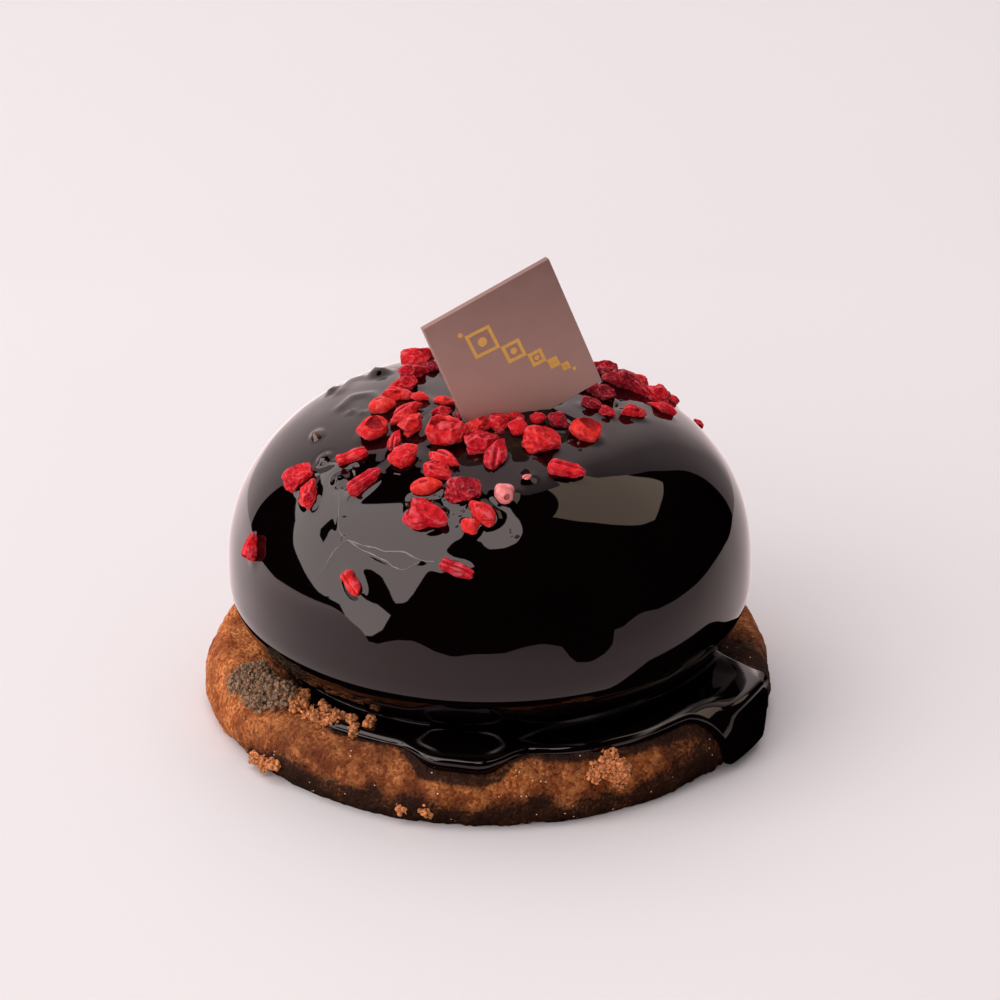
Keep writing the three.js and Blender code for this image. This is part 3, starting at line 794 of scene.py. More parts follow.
def dome_rings(bearing, foot):
    """Rings over the dome and in under its waist, down to the height of its foot on each bearing."""
    angle = np.radians(np.linspace(90, 0, 1500))[1:]
    out = waist * np.cos(angle) ** (2 / upper_roundness)
    height = waist_height + crown * np.sin(angle) ** (2 / upper_roundness)
    run = np.cumsum(np.hypot(np.diff(out, prepend=0), np.diff(height, prepend=dome_top)))
    # close rings where the creases are, wide ones elsewhere
    places = np.concatenate([np.arange(0.4, 22, 0.6), np.arange(22.2, 41, 0.21),
                             np.linspace(41.2, run[-1], 18)])
    rings = [on_bearing(np.interp(place, run, out), bearing, np.interp(place, run, height))
             for place in places]
    for share in np.linspace(0, 1, 26)[1:]:
        height = waist_height - (waist_height - foot) * math.sin(share * math.pi / 2)
        rings.append(on_bearing(dome_radius_below(height), bearing, height))
    dome = np.array(rings)
    return list(dome + dome_normal(dome) * glaze_relief(dome)[..., None])


def glaze_rings():
    """The whole skin, from the crown over the dome and the sheet to the sheet's underside."""
    # narrow columns where the creases and the drip are, wide ones elsewhere
    bearing = np.concatenate([np.arange(-72, 14, 0.5), np.arange(14, 90, 0.75), np.arange(90, 288, 2.0)])
    signed = signed_bearing(bearing)
    reach = sheet_reach(signed)
    junction = biscuit_height + sheet_body(signed, junction_run, reach)
    rings = dome_rings(bearing, junction + sheet_fillet)
    # the hollow between the dome and the sheet
    dome_foot = rings[-1]
    corner = on_bearing(dome_radius_below(junction), bearing, junction)
    first_run = dome_radius_below(junction) + 0.8 - sheet_start
    first_run = np.minimum(first_run, reach - 0.5)
    lip = on_ledge(first_run, sheet_body(signed, first_run, reach), bearing)
    for share in np.linspace(0, 1, 8)[1:-1]:
        rings.append((1 - share) ** 2 * dome_foot + 2 * share * (1 - share) * corner + share ** 2 * lip)
    # out over the biscuit, with a round rim
    rim = np.minimum(rim_width, (reach - first_run) * 0.8)
    flat_run = reach - rim
    for share in np.linspace(0, 1, 46)[:-1]:
        run = first_run + (flat_run - first_run) * share
        rings.append(on_ledge(run, sheet_body(signed, run, reach), bearing))
    for angle in np.radians(np.linspace(0, 90, 11)):
        run = flat_run + rim * math.sin(angle)
        rings.append(on_ledge(run, sheet_body(signed, run, reach) * math.cos(angle), bearing))
    # back underneath, a little into the biscuit
    for share in (0.97, 0.8, 0.5, 0.2):
        rings.append(on_ledge(reach * share, -glaze_sunk, bearing))
    return np.array(rings)


glaze_points = glaze_rings()
print(len(glaze_points), "rings of", glaze_points.shape[1], "points")

# %% [markdown]
# The finish needs two things that only some places have: where the glaze lies
# thin on a flake, and a fine grey line round the brim of the drip and of the
# long sheet. That line is a painted reflection: it stands for the pale table and
# wall that the brim's curve reflects. Both are kept as a value on each point of
# the mesh, and the material reads them.

# %% The glaze's finish and its painted brim reflection
# painted reflection: the seams are pale grey lines painted round the brims for their reflected outline
brim_line_width, brim_line_lift = 0.22, 1.2       # the seams lie on top of the sheet, about this far off the biscuit
brim_line_step, brim_line_softness = 0.2, 0.8
# (bearing, run) round the brim of the drip and of the long sheet, where the painted reflection lies
brim_reflection_lines = [
    [(-16.2, 8.9), (-14.8, 6.4), (-10.2, 5.7), (-3.2, 5.9), (1.6, 6.9), (3.4, 9.0), (1.2, 11.1),
     (-1.2, 12.1), (-6.5, 12.3), (-10.0, 12.2), (-13.0, 11.0), (-15.4, 9.9), (-16.2, 8.9)],
    [(27.5, 12.4), (32.2, 12.0), (39.8, 11.3), (49.5, 11.0), (54.5, 11.6), (58.5, 12.6), (63.0, 13.0),
     (68.5, 12.4), (74.0, 10.2), (81.0, 8.5), (67.0, 6.8), (53.8, 6.0), (43.2, 5.2), (33.2, 5.2),
     (21.5, 4.9), (13.0, 5.5), (6.8, 7.6), (11.2, 9.5), (15.8, 10.3), (19.8, 11.0)],
]


def cocoa_glaze():
    """Cocoa mirror glaze, poured and set: near-black, wet gloss, IOR 1.48 as sugar syrup has. The eye gets
    a clean mirror, a trace softer in slow clouds, brown where it lies thin on a flake, and a fine grey
    line round the brims, which is a painted reflection of the pale table and wall."""
    material, tree, place = new_material("cocoa_mirror_glaze")
    clouds = add_node(tree, "ShaderNodeTexNoise", {}, {"Vector": place, "Scale": per_metre(9), "Detail": 3})
    body = add_node(tree, "ShaderNodeMix", {"data_type": "RGBA"},
                    {0: clouds.outputs[0], 6: linear("#080304"), 7: linear("#030101")})
    thin = add_node(tree, "ShaderNodeAttribute", {"attribute_name": "thin"}).outputs["Fac"]
    colour = add_node(tree, "ShaderNodeMix", {"data_type": "RGBA"},
                      {0: thin, 6: body.outputs[2], 7: linear("#6e554b")})
    haze = add_node(tree, "ShaderNodeMapRange", {}, {0: clouds.outputs[0], 3: 0.015, 4: 0.045})
    # painted reflection: along the seam value the colour turns pale grey and the finish rougher, for the
    # brim's reflected outline
    seam = add_node(tree, "ShaderNodeAttribute", {"attribute_name": "seam"}).outputs["Fac"]
    dried = add_node(tree, "ShaderNodeMix", {"data_type": "RGBA"},
                     {0: seam, 6: colour.outputs[2], 7: linear("#6e6765")})
    rough = add_node(tree, "ShaderNodeMapRange", {}, {0: seam, 3: haze.outputs[0], 4: 0.3})
    shader = add_node(tree, "ShaderNodeBsdfPrincipled", {},
                      {"Base Color": dried.outputs[2], "Roughness": rough.outputs[0], "IOR": 1.48,
                       "Specular Tint": linear("#fff0f2")})
    add_node(tree, "ShaderNodeOutputMaterial", {}, {"Surface": shader.outputs[0]})
    return material


glaze = closed_skin("mirror_glaze", glaze_points, (0, 0, dome_top + 0.1), (0, 0, biscuit_height - glaze_sunk),
                    cocoa_glaze())
flat_points = glaze_points.reshape(-1, 3)
pole_values = [0, 0]
# only the first flake is so near the surface that it shows through
across, forward, radius, _ = glaze_flakes[0]
away = np.linalg.norm(flat_points - on_dome(across, forward), axis=-1) / radius
set_attribute(glaze, "thin", np.append(0.9 * np.exp(-away ** 4), pole_values))
# painted reflection: how near each point lies to the pale lines round the brims
seam = np.zeros(len(flat_points))
for line in brim_reflection_lines:
    bearings, runs = softened(line, brim_line_step, brim_line_softness).T
    away = line_distance(flat_points, on_ledge(runs, brim_line_lift, bearings))
    width = brim_line_width * (1 + 0.35 * lumps(flat_points, 2.5, 61))
    seam = np.maximum(seam, np.exp(-(away / width) ** 2))
set_attribute(glaze, "seam", np.append(seam, pole_values))
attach(glaze, "root")
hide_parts("glazed_dome")

# %% [markdown]
# Where the skin was already setting as it ran, it wrinkled into a few fine
# threads. Each wrinkle catches the light as a pale line a tenth of a
# millimetre or two wide, finer than the glaze's own mesh, so the threads are a
# small mesh of their own that lies half sunk along the creases. Their pale
# grey colour is a painted highlight that stands for this line of light.

# %% Threads along the creases
thread_radii = (0.09, 0.17, 0.14, 0.08)     # the widest of each of the first creases
thread_step, thread_softness = 0.25, 0.9


def pale_wrinkle():
    """A painted highlight on a wrinkle: pale grey, less glossy than the mirror round it, for the light that
    the wrinkle catches.
    """
    material, tree, place = new_material("wrinkle_painted_highlight")
    clouds = add_node(tree, "ShaderNodeTexNoise", {}, {"Vector": place, "Scale": per_metre(1.2), "Detail": 3})
    # painted highlight: the pale greys stand for light caught along the wrinkle
    colour = add_node(tree, "ShaderNodeMix", {"data_type": "RGBA"},
                      {0: clouds.outputs[0], 6: linear("#4a4341"), 7: linear("#8d8481")})
    shader = add_node(tree, "ShaderNodeBsdfPrincipled", {},
                      {"Base Color": colour.outputs[2], "Roughness": 0.35})
    add_node(tree, "ShaderNodeOutputMaterial", {}, {"Surface": shader.outputs[0]})
    return material


def threads(name, lines, material, around=6):
    """Thin tubes that follow lines of [across, forward] points, each with its widest radius."""
    points, faces = [], []
    turn = np.radians(np.arange(around) * 360 / around)
    for line, thick in lines:
        path = softened([(a, -f) for a, f in line], thread_step, thread_softness)
        share = np.linspace(0, 1, len(path))
        on_plan = np.column_stack([path, np.zeros(len(path))])
        path = path + 0.10 * np.stack([lumps(on_plan, 1.1, seed) for seed in (71, 72)], axis=-1)
        spine = np.column_stack([path, dome_height_at(np.hypot(path[:, 0], path[:, 1]))])
        normal = dome_normal(spine)
        spine = spine + normal * glaze_relief(spine)[:, None]
        side = np.cross(np.gradient(spine, axis=0), normal)
        side /= np.linalg.norm(side, axis=1, keepdims=True)
        radius = thick * (0.25 + 0.75 * np.sin(np.pi * share) ** 0.6) * (0.8 + 0.5 * lumps(spine, 0.9, 73))
        round_it = (np.cos(turn)[None, :, None] * side[:, None]
                    + 0.6 * np.sin(turn)[None, :, None] * normal[:, None])
        rings = spine[:, None] + radius[:, None, None] * round_it
        quads, fans = ring_faces(len(rings), around)
        start = len(points)
        points += list(rings.reshape(-1, 3)) + [spine[0], spine[-1]]
        faces += (quads[:, ::-1] + start).tolist() + (fans[:, ::-1] + start).tolist()
    return make_mesh(name, points, faces, [material])


thread_lines = [(crease[0], thick) for crease, thick in zip(glaze_creases, thread_radii)]
wrinkles = threads("glaze_wrinkles", thread_lines, pale_wrinkle())
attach(wrinkles, "root")
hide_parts("glazed_dome")
print("wrinkles", len(wrinkles.data.polygons), "faces")

# %% [markdown]
# ## The biscuit
#
# The base is a round of baked crumb. It is browned on its edge, its surface is
# all small grains with sugar among them, and where glaze ran over it and
# pooled at its foot it has soaked dark. Painted shade also darkens its front,
# its foot and its right side, away from the light, and its pores. The round is
# turned as a skin, and its craggy form is noise at four sizes, from low bumps
# to single grains.

# %% The biscuit's form
biscuit_step, biscuit_turn = 0.25, 0.4      # the mesh's fineness, in millimetres and degrees: half a grain
under_foot = 34                             # where the outline starts under the foot


def biscuit_outline():
    """Distance from the axis and height, from under the foot round the side to under the dome."""
    side = []
    for height in biscuit_height * np.sin(np.radians(np.linspace(0, 90, 40))):
        if height < biscuit_widest_height:
            share = 1 - height / biscuit_widest_height
            out = biscuit_widest - (biscuit_widest - biscuit_foot) * share ** 2
        else:
            share = (height - biscuit_widest_height) / edge_rise
            out = biscuit_top + edge_reach * math.sqrt(max(1 - share ** 2, 0))
        side.append((out, height))
    return [(under_foot, 0)] + side + [(sheet_start, biscuit_height)]


def crumb_relief(points):
    """Low bumps, clots of crumb and single grains, smoother in some parts."""
    big = 0.24 * lumps(points, 5.5, 41) + 0.17 * lumps(points, 2.1, 42)
    fine = 0.14 * lumps(points, 0.95, 43) + 0.14 * lumps(points, 0.5, 44)
    rough = 0.55 + 0.45 * rise(lumps(points, 9, 45), -0.4, 0.4)
    return big + fine * rough


def biscuit_rings():
    """The rings, how far each point is past the glaze's edge, and its bearing."""
    line, place = even_line(biscuit_outline(), biscuit_step)
    bearing = np.arange(0, 360, biscuit_turn)
    signed = signed_bearing(bearing)
    angle = np.radians(signed)
    uneven = 0.25 * np.sin(3 * angle + 1) + 0.2 * np.sin(5 * angle + 2.4)
    rings = on_bearing(line[:, :1] + uneven * rise(line[:, :1], 26, 33), bearing, line[:, 1:])
    turn = np.gradient(line, axis=0)
    across = np.stack([turn[:, 1], -turn[:, 0]], axis=-1)
    across /= np.linalg.norm(across, axis=1, keepdims=True)
    outward = on_bearing(across[:, :1], bearing, across[:, 1:])
    rings = rings + outward * crumb_relief(rings)[..., None]
    rings[..., 2] = np.maximum(rings[..., 2], 0)
    rings[0, :, 2] = 0
    past_glaze = (place[-1] - place)[:, None] - sheet_reach(signed)[None, :]
    return rings, past_glaze, np.broadcast_to(signed, rings.shape[:2])


rings, past_glaze, bearings = biscuit_rings()
print(len(rings), "rings of", rings.shape[1], "points")

# %% The biscuit's finish
grain_width, pore_width, crystal_width, patch_width = 0.42, 0.45, 0.5, 3.5


def baked_crumb():
    """Baked crumb biscuit: a dry, matt, open surface of grains under half a millimetre wide.
    The eye gets orange-brown grains of uneven tone, pores darkened with painted shade between them, glints
    of sugar, and soaked crumb darkened further with painted shade on its front, foot and right."""
    material, tree, place = new_material("baked_crumb")
    # soak and painted shade: real soaking mixed with painted shade, stored on the mesh
    soak_and_shade = add_node(tree, "ShaderNodeAttribute", {"attribute_name": "soak_and_shade"}).outputs["Fac"]
    grains = add_node(tree, "ShaderNodeTexVoronoi", {}, {"Vector": place, "Scale": per_metre(grain_width)})
    patches = add_node(tree, "ShaderNodeTexNoise", {},
                       {"Vector": place, "Scale": per_metre(patch_width), "Detail": 5})
    pores = add_node(tree, "ShaderNodeTexNoise", {},
                     {"Vector": place, "Scale": per_metre(pore_width), "Detail": 4})
    tone = add_node(tree, "ShaderNodeSeparateColor", {}, {0: grains.outputs["Color"]}).outputs[0]
    crust = add_node(tree, "ShaderNodeMix", {"data_type": "RGBA"},
                     {0: tone, 6: linear("#a94e19"), 7: linear("#f09a58")})
    browned = add_node(tree, "ShaderNodeMapRange", {}, {0: patches.outputs[0], 1: 0.42, 2: 0.62, 4: 0.75})
    baked = add_node(tree, "ShaderNodeMix", {"data_type": "RGBA"},
                     {0: browned.outputs[0], 6: crust.outputs[2], 7: linear("#9c4315")})
    # the soaked parts and the painted shade have a broken, grainy border
    broken = add_node(tree, "ShaderNodeMath", {"operation": "MULTIPLY_ADD"},
                      {0: pores.outputs[0], 1: 1.5, 2: soak_and_shade})
    clouds = add_node(tree, "ShaderNodeMath", {"operation": "MULTIPLY_ADD"},
                      {0: patches.outputs[0], 1: 0.9, 2: broken.outputs[0]})
    share = add_node(tree, "ShaderNodeMapRange", {}, {0: clouds.outputs[0], 1: 1.2, 2: 2.1, 4: 0.97})
    # soaked crumb and painted shade both darken the colour towards near-black here
    wet = add_node(tree, "ShaderNodeMix", {"data_type": "RGBA"},
                   {0: share.outputs[0], 6: baked.outputs[2], 7: linear("#1c0903")})
    # painted shade: the pores are darkened
    hole = add_node(tree, "ShaderNodeMapRange", {}, {0: pores.outputs[0], 1: 0.32, 2: 0.54, 3: 0.34, 4: 1.06})
    colour = add_node(tree, "ShaderNodeMix", {"data_type": "RGBA", "blend_type": "MULTIPLY"},
                      {0: 1.0, 6: wet.outputs[2], 7: hole.outputs[0]})
    # a few small sugar crystals catch the light
    crystals = add_node(tree, "ShaderNodeTexVoronoi", {},
                        {"Vector": place, "Scale": per_metre(crystal_width)})
    chosen = add_node(tree, "ShaderNodeSeparateColor", {}, {0: crystals.outputs["Color"]}).outputs[1]
    rare = add_node(tree, "ShaderNodeMath", {"operation": "GREATER_THAN"}, {0: chosen, 1: 0.960})
    near = add_node(tree, "ShaderNodeMath", {"operation": "LESS_THAN"},
                    {0: crystals.outputs["Distance"], 1: 0.22})
    sugar = add_node(tree, "ShaderNodeMath", {"operation": "MULTIPLY"},
                     {0: rare.outputs[0], 1: near.outputs[0]})
    sweet = add_node(tree, "ShaderNodeMix", {"data_type": "RGBA"},
                     {0: sugar.outputs[0], 6: colour.outputs[2], 7: linear("#f0c49c")})
    rough = add_node(tree, "ShaderNodeMapRange", {}, {0: sugar.outputs[0], 3: 0.85, 4: 0.2})
    # each grain is a little dome with a seam round it
    seam = add_node(tree, "ShaderNodeMath", {"operation": "MULTIPLY_ADD"},
                    {0: grains.outputs["Distance"], 1: -0.8, 2: pores.outputs[0]})
    bump = add_node(tree, "ShaderNodeBump", {},
                    {"Strength": 0.9, "Distance": 0.00022, "Height": seam.outputs[0]})
    shader = add_node(tree, "ShaderNodeBsdfPrincipled", {},
                      {"Base Color": sweet.outputs[2], "Roughness": rough.outputs[0],
                       "Specular IOR Level": 0.15, "Normal": bump.outputs[0]})
    add_node(tree, "ShaderNodeOutputMaterial", {}, {"Surface": shader.outputs[0]})
    return material


biscuit = closed_skin("biscuit", rings, (0, 0, 0), (0, 0, biscuit_height), baked_crumb())
# painted shade on its front, its foot and most on its right, away from the light; real soaking along the
# glaze's edge and at its foot
front = rise(bearings, -72, -44) * (1 - rise(bearings, 90, 112))
right = rise(bearings, 30, 52) * (1 - rise(bearings, 78, 96))
foot = 1 - rise(rings[..., 2] + 1.1 * lumps(rings, 2.5, 46) - 0.8 * front, 0.8, 4.0)
edge = 1 - rise(past_glaze + 0.5 * lumps(rings, 1.8, 47), 0.1, 1.3)
soak_and_shade = np.clip(0.80 * foot * (0.3 + 0.7 * front) + 0.7 * edge + 0.46 * front + 0.60 * right, 0, 1)
set_attribute(biscuit, "soak_and_shade", np.concatenate([soak_and_shade.ravel(), [0.5, 0.5]]))
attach(biscuit, "root")
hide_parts("biscuit_base")

# %% [markdown]
# ## Shapes that are strewn
#
# Raspberry pieces, crumbs, chocolate flakes and the plaque's print are all
# small shapes that repeat. One Geometry Nodes tree puts a shape from a
# collection on each point of a mesh, by that point's own attributes: which
# shape, how it is turned and how large it is. It ends with real geometry, so
# the result is kept as a plain mesh, and the tree's part is over.

# %% A tree that puts shapes on points
def placing_tree():
    """The node tree. Its points, shapes, size and finish are named inputs."""
    tree = bpy.data.node_groups.new("shapes_on_points", "GeometryNodeTree")
    for name, kind in (("Points", "Geometry"), ("Shapes", "Collection"), ("Size", "Float"),
                       ("Finish", "Material")):
        tree.interface.new_socket(name, in_out="INPUT", socket_type="NodeSocket" + kind)
    tree.interface.new_socket("Geometry", in_out="OUTPUT", socket_type="NodeSocketGeometry")
    given = add_node(tree, "NodeGroupInput").outputs
    shapes = add_node(tree, "GeometryNodeCollectionInfo", {},
                      {"Collection": given["Shapes"], "Separate Children": True, "Reset Children": True})
    stored = {}
    for name, kind in (("shape", "INT"), ("turn", "FLOAT_VECTOR"), ("grown", "FLOAT_VECTOR")):
        reader = add_node(tree, "GeometryNodeInputNamedAttribute", {"data_type": kind}, {"Name": name})
        stored[name] = reader.outputs[0]
    size = add_node(tree, "ShaderNodeVectorMath", {"operation": "SCALE"},
                    {0: stored["grown"], "Scale": given["Size"]})
    copies = add_node(tree, "GeometryNodeInstanceOnPoints", {},
                      {"Points": given["Points"], "Instance": shapes.outputs[0], "Pick Instance": True,
                       "Instance Index": stored["shape"], "Rotation": stored["turn"],
                       "Scale": size.outputs[0]})
    real = add_node(tree, "GeometryNodeRealizeInstances", {}, {"Geometry": copies.outputs[0]})
    finished = add_node(tree, "GeometryNodeSetMaterial", {},
                        {"Geometry": real.outputs[0], "Material": given["Finish"]})
    add_node(tree, "NodeGroupOutput", {}, {"Geometry": finished.outputs[0]})
    return tree


shapes_on_points = placing_tree()
print("tree with", len(shapes_on_points.nodes), "nodes")

# %% Shapes put on points and kept as a mesh
def place_shapes(name, points, shapes, which, turns, sizes, material, tones):
    """Puts shapes on points, all in millimetres, and returns them as one plain mesh."""
    kinds = bpy.data.collections.new(name + "_shapes")
    for number, shape in enumerate(shapes):
        shape.name = f"{name}_{number:02d}"
        for home in list(shape.users_collection):
            home.objects.unlink(shape)
        kinds.objects.link(shape)
    holder = make_mesh(name + "_points", points, [], [])
    attribute = holder.data.attributes.new("shape", "INT", "POINT")
    attribute.data.foreach_set("value", np.array(which, dtype=np.int32))
    set_attribute(holder, "turn", turns, "FLOAT_VECTOR")
    set_attribute(holder, "grown", sizes, "FLOAT_VECTOR")
    set_attribute(holder, "tone", tones)
    modifier = holder.modifiers.new("place", "NODES")
    modifier.node_group = shapes_on_points
    inputs = {item.name: item.identifier for item in shapes_on_points.interface.items_tree
              if item.in_out == "INPUT"}
    modifier[inputs["Shapes"]] = kinds
    modifier[inputs["Size"]] = 1.0
    modifier[inputs["Finish"]] = material
    seen = holder.evaluated_get(bpy.context.evaluated_depsgraph_get())
    mesh = bpy.data.meshes.new_from_object(seen)
    mesh.name = name
    piece = bpy.data.objects.new(name, mesh)
    bpy.context.scene.collection.objects.link(piece)
    for old in [holder, *shapes]:
        bpy.data.objects.remove(old)
    bpy.data.collections.remove(kinds)
    mesh.calc_loop_triangles()
    print(name, len(points), "shapes,", len(mesh.loop_triangles), "triangles")
    return piece


def ball(fineness):
    """Points on a unit ball and its triangles. Fineness 2 has 80 faces, 4 has 1280."""
    work = bmesh.new()
    bmesh.ops.create_icosphere(work, subdivisions=fineness, radius=1)
    points = np.array([v.co[:] for v in work.verts])
    faces = [[v.index for v in face.verts] for face in work.faces]
    work.free()
    return points, faces


ball_points, ball_faces = ball(4)
print("a ball has", len(ball_faces), "faces")

# %% [markdown]
# ## Raspberry pieces
#
# They are raspberries that were frozen, dried under vacuum and broken. A dried
# berry breaks into curled walls, stubs and crumbs. It is light and
# powdery, deep red where the skin shows, brighter inside, and paler along each
# torn rim. Nine kinds of piece are shaped from a ball by code, each one three
# times with another seed, and the plan says which lies where.

# %% Breaks and hollows
def cut_flat(points, random, how_many, depth):
    """Pushes what lies past a few chance planes nearly flat, as a break does."""
    for _ in range(how_many):
        plane = random.normal(size=3)
        plane /= np.linalg.norm(plane)
        past = np.maximum(points @ plane - depth * random.uniform(0.85, 1.15), 0)
        points = points - past[:, None] * plane * 0.93
    return points


def hollow_out(points, middle, radius):
    """Presses a round hollow with a sharp rim. Its middle lies a little off the surface."""
    away = points - np.asarray(middle, float)
    far = np.linalg.norm(away, axis=1, keepdims=True)
    radius = radius * (1 + 0.30 * lumps(points, 0.45, 77))[:, None]
    return np.where(far < radius, middle + away / far * radius, points)


def bitten(points, random, how_many, radius):
    """Hollows from chance sides, more of them on top."""
    for _ in range(how_many):
        way = random.normal(size=3) + np.array([0, 0, 0.9])
        points = hollow_out(points, way / np.linalg.norm(way) * 1.12, radius * random.uniform(0.8, 1.2))
    return points


bitten_top = hollow_out(np.array([[0, 0, 1.0]]), (0, 0, 1.12), 0.5)[0, 2]
print("a bite takes the ball's top down to", round(float(bitten_top), 2))

# %% Shapes of the raspberry pieces
def shape_torn(points, random):
    """A broken bit of flesh with a few bites out of it."""
    points = points * (1 + 0.22 * lumps(points, 0.9, random.integers(900)))[:, None]
    return bitten(cut_flat(points, random, 7, 0.66), random, 3, 0.48) * 1.25


def shape_lump(points, random):
    """Three or four drupelets that stayed together."""
    centres = random.normal(size=(5, 3)) + np.array([0, 0, 0.4])
    bulge = sum(np.exp(-np.linalg.norm(points - c / np.linalg.norm(c), axis=1) ** 2 / 0.22) for c in centres)
    berry = cut_flat(points * (0.70 + 0.38 * np.minimum(bulge, 1.1))[:, None], random, 3, 0.72)
    return bitten(berry, random, 1, 0.34) * 1.10


def shape_rod(points, random):
    """A stub of a berry's core, split lengthwise, with one end wider."""
    boxy = np.sign(points) * np.abs(points) ** np.array([0.55, 0.7, 0.7])
    flare = 0.84 + 0.30 * rise(-boxy[:, 0], 0.4, 0.9) + 0.05 * np.cos(boxy[:, 0] * 5 + random.uniform(0, 6))
    boxy[:, 1:] *= flare[:, None]
    side = boxy[:, 1] - 0.5 * random.uniform(-1, 1)
    boxy[:, 2] -= 0.15 * np.exp(-(side / 0.2) ** 2) * (points[:, 2] > 0)
    return cut_flat(boxy, random, 5, 0.92)


def shape_ring(points, random):
    """A berry's wall seen from inside: a folded rim round a hollow with a lumpy middle."""
    turn = np.arctan2(points[:, 1], points[:, 0])
    out = np.hypot(points[:, 0], points[:, 1]) * (1 + 0.10 * np.cos(2 * turn + 1) + 0.07 * np.cos(5 * turn))
    flat = points * np.array([1.05, 1.0, 0.8])
    uneven = 0.9 + 0.9 * lumps(points, 0.55, random.integers(900))
    fold = 0.34 * np.exp(-((out - 0.80) / 0.15) ** 2) - 0.42 * np.exp(-((out - 0.50) / 0.18) ** 2)
    flat[:, 2] += np.where(points[:, 2] > 0, fold * uneven + 0.05, 0)
    flat = flat * (1 + 0.12 * lumps(flat, 0.6, random.integers(900)))[:, None]
    return cut_flat(flat, random, 5, 0.86) * 1.05


def shape_leaf(points, random):
    """A thin wall folded once, narrow at one end."""
    bent = points * np.array([1.15, 1.0, 0.95])
    narrow = 1.05 - 0.75 * rise(bent[:, 0], -0.3, 1.15)
    fold = np.exp(-((bent[:, 1] + 0.3 * bent[:, 0] * random.uniform(-1, 1)) / 0.20) ** 2)
    deep = 0.55 * fold * (points[:, 2] > 0) * (1 - points[:, 0]) / 1.6
    bent[:, 2] = bent[:, 2] * (1.1 - 0.4 * np.abs(bent[:, 1])) - deep
    bent[:, 1] *= narrow
    return cut_flat(bent, random, 4, 0.72) * 1.12


def shape_cup(points, random):
    """A curled piece of skin: a deep hollow with a thin rim that is higher on one side."""
    lean = random.uniform(-0.45, 0.45, 2)
    cup = hollow_out(points * np.array([1, 1, 0.95]), (lean[0], lean[1], 1.05), 0.80)
    cup[:, 2] *= 1 + 0.25 * cup[:, 0] * np.sign(lean[0])
    cup = cup * (1 + 0.14 * lumps(cup, 0.8, random.integers(900)))[:, None]
    return cut_flat(cup, random, 3, 0.80) * 1.08


def shape_wedge(points, random):
    """A piece of wall with three rounded corners."""
    angle = np.arctan2(points[:, 1], points[:, 0])
    corner = 0.84 + 0.20 * np.cos(3 * angle) + 0.06 * np.cos(5 * angle + 1)
    flat = points * np.stack([corner, corner, np.full(len(points), 1.0)], axis=1) * 1.15
    flat = flat * (1 + 0.10 * lumps(flat, 0.7, random.integers(900)))[:, None]
    return bitten(cut_flat(flat, random, 4, 0.72), random, 1, 0.35)


def shape_knob(points, random):
    """A berry's pale core, standing up, with a hollow in its side."""
    points = points * (0.98 + 0.22 * lumps(points, 0.8, random.integers(900)))[:, None]
    points = points * np.array([1, 1, 1.25])
    return hollow_out(cut_flat(points, random, 3, 0.9), (0.3, -0.9, 0.8), 0.40)


def shape_smooth(points, random):
    """One whole drupelet, narrow at one end and a little sunk on top."""
    narrow = 1 - 0.35 * rise(points[:, 0], 0, 1)
    smooth = points * np.stack([np.full(len(points), 1.05), narrow, narrow * 1.05], axis=1)
    return hollow_out(smooth, (-0.2, 0.2, 1.45), 0.62)


shape_makers = dict(torn=shape_torn, lump=shape_lump, rod=shape_rod, ring=shape_ring, leaf=shape_leaf,
                    cup=shape_cup, wedge=shape_wedge, knob=shape_knob, smooth=shape_smooth)
print(len(shape_makers), "kinds of piece")

# %% A mesh for each kind
# how rough each kind's surface is
crumbliness = dict(torn=1.0, lump=0.8, rod=0.5, ring=0.8, leaf=0.6, cup=0.4, wedge=0.6, knob=0.3, smooth=0.3)
shape_copies = 3
rim_gain = 11              # turns how far a point stands out into its rim value


def rim_of(points, faces):
    """How far each point stands out from its neighbours: high on a rim, low in a fold."""
    faces = np.array(faces)
    pairs = np.vstack([faces[:, [0, 1]], faces[:, [1, 2]], faces[:, [2, 0]]])
    total, count = np.zeros_like(points), np.zeros(len(points))
    np.add.at(total, pairs[:, 0], points[pairs[:, 1]])
    np.add.at(count, pairs[:, 0], 1)
    normal = np.zeros_like(points)
    a, b, c = (points[faces[:, i]] for i in range(3))
    for i in range(3):
        np.add.at(normal, faces[:, i], np.cross(b - a, c - a))
    normal /= np.linalg.norm(normal, axis=1, keepdims=True)
    sunk = total / count[:, None] - points
    standing = -np.einsum("ij,ij->i", sunk, normal)
    return np.clip(0.5 + standing * rim_gain, 0, 1)


def raspberry_shape(kind, number):
    """One shape of a kind, grained, with its rims marked for the material."""
    random = np.random.default_rng(200 + number)
    points = shape_makers[kind](ball_points, random)
    rough = crumbliness[kind]
    grain = 0.08 * lumps(points, 0.45, 300 + number) + 0.05 * lumps(points, 0.2, 400 + number)
    # torn membranes stand up as thin ridges
    ridges = 0.10 * (1 - np.abs(lumps(points, 0.65, 500 + number))) ** 6
    points = points * (1 + rough * (grain + ridges))[:, None]
    shape = make_mesh(f"{kind}_{number}", points, ball_faces, [])
    set_attribute(shape, "rim", rim_of(points, ball_faces))
    return shape


shape_numbers = {}
raspberry_shapes = []
for kind in shape_makers:
    for copy in range(shape_copies):
        shape_numbers[kind, copy] = len(raspberry_shapes)
        raspberry_shapes.append(raspberry_shape(kind, len(raspberry_shapes)))
print(len(raspberry_shapes), "raspberry shapes")
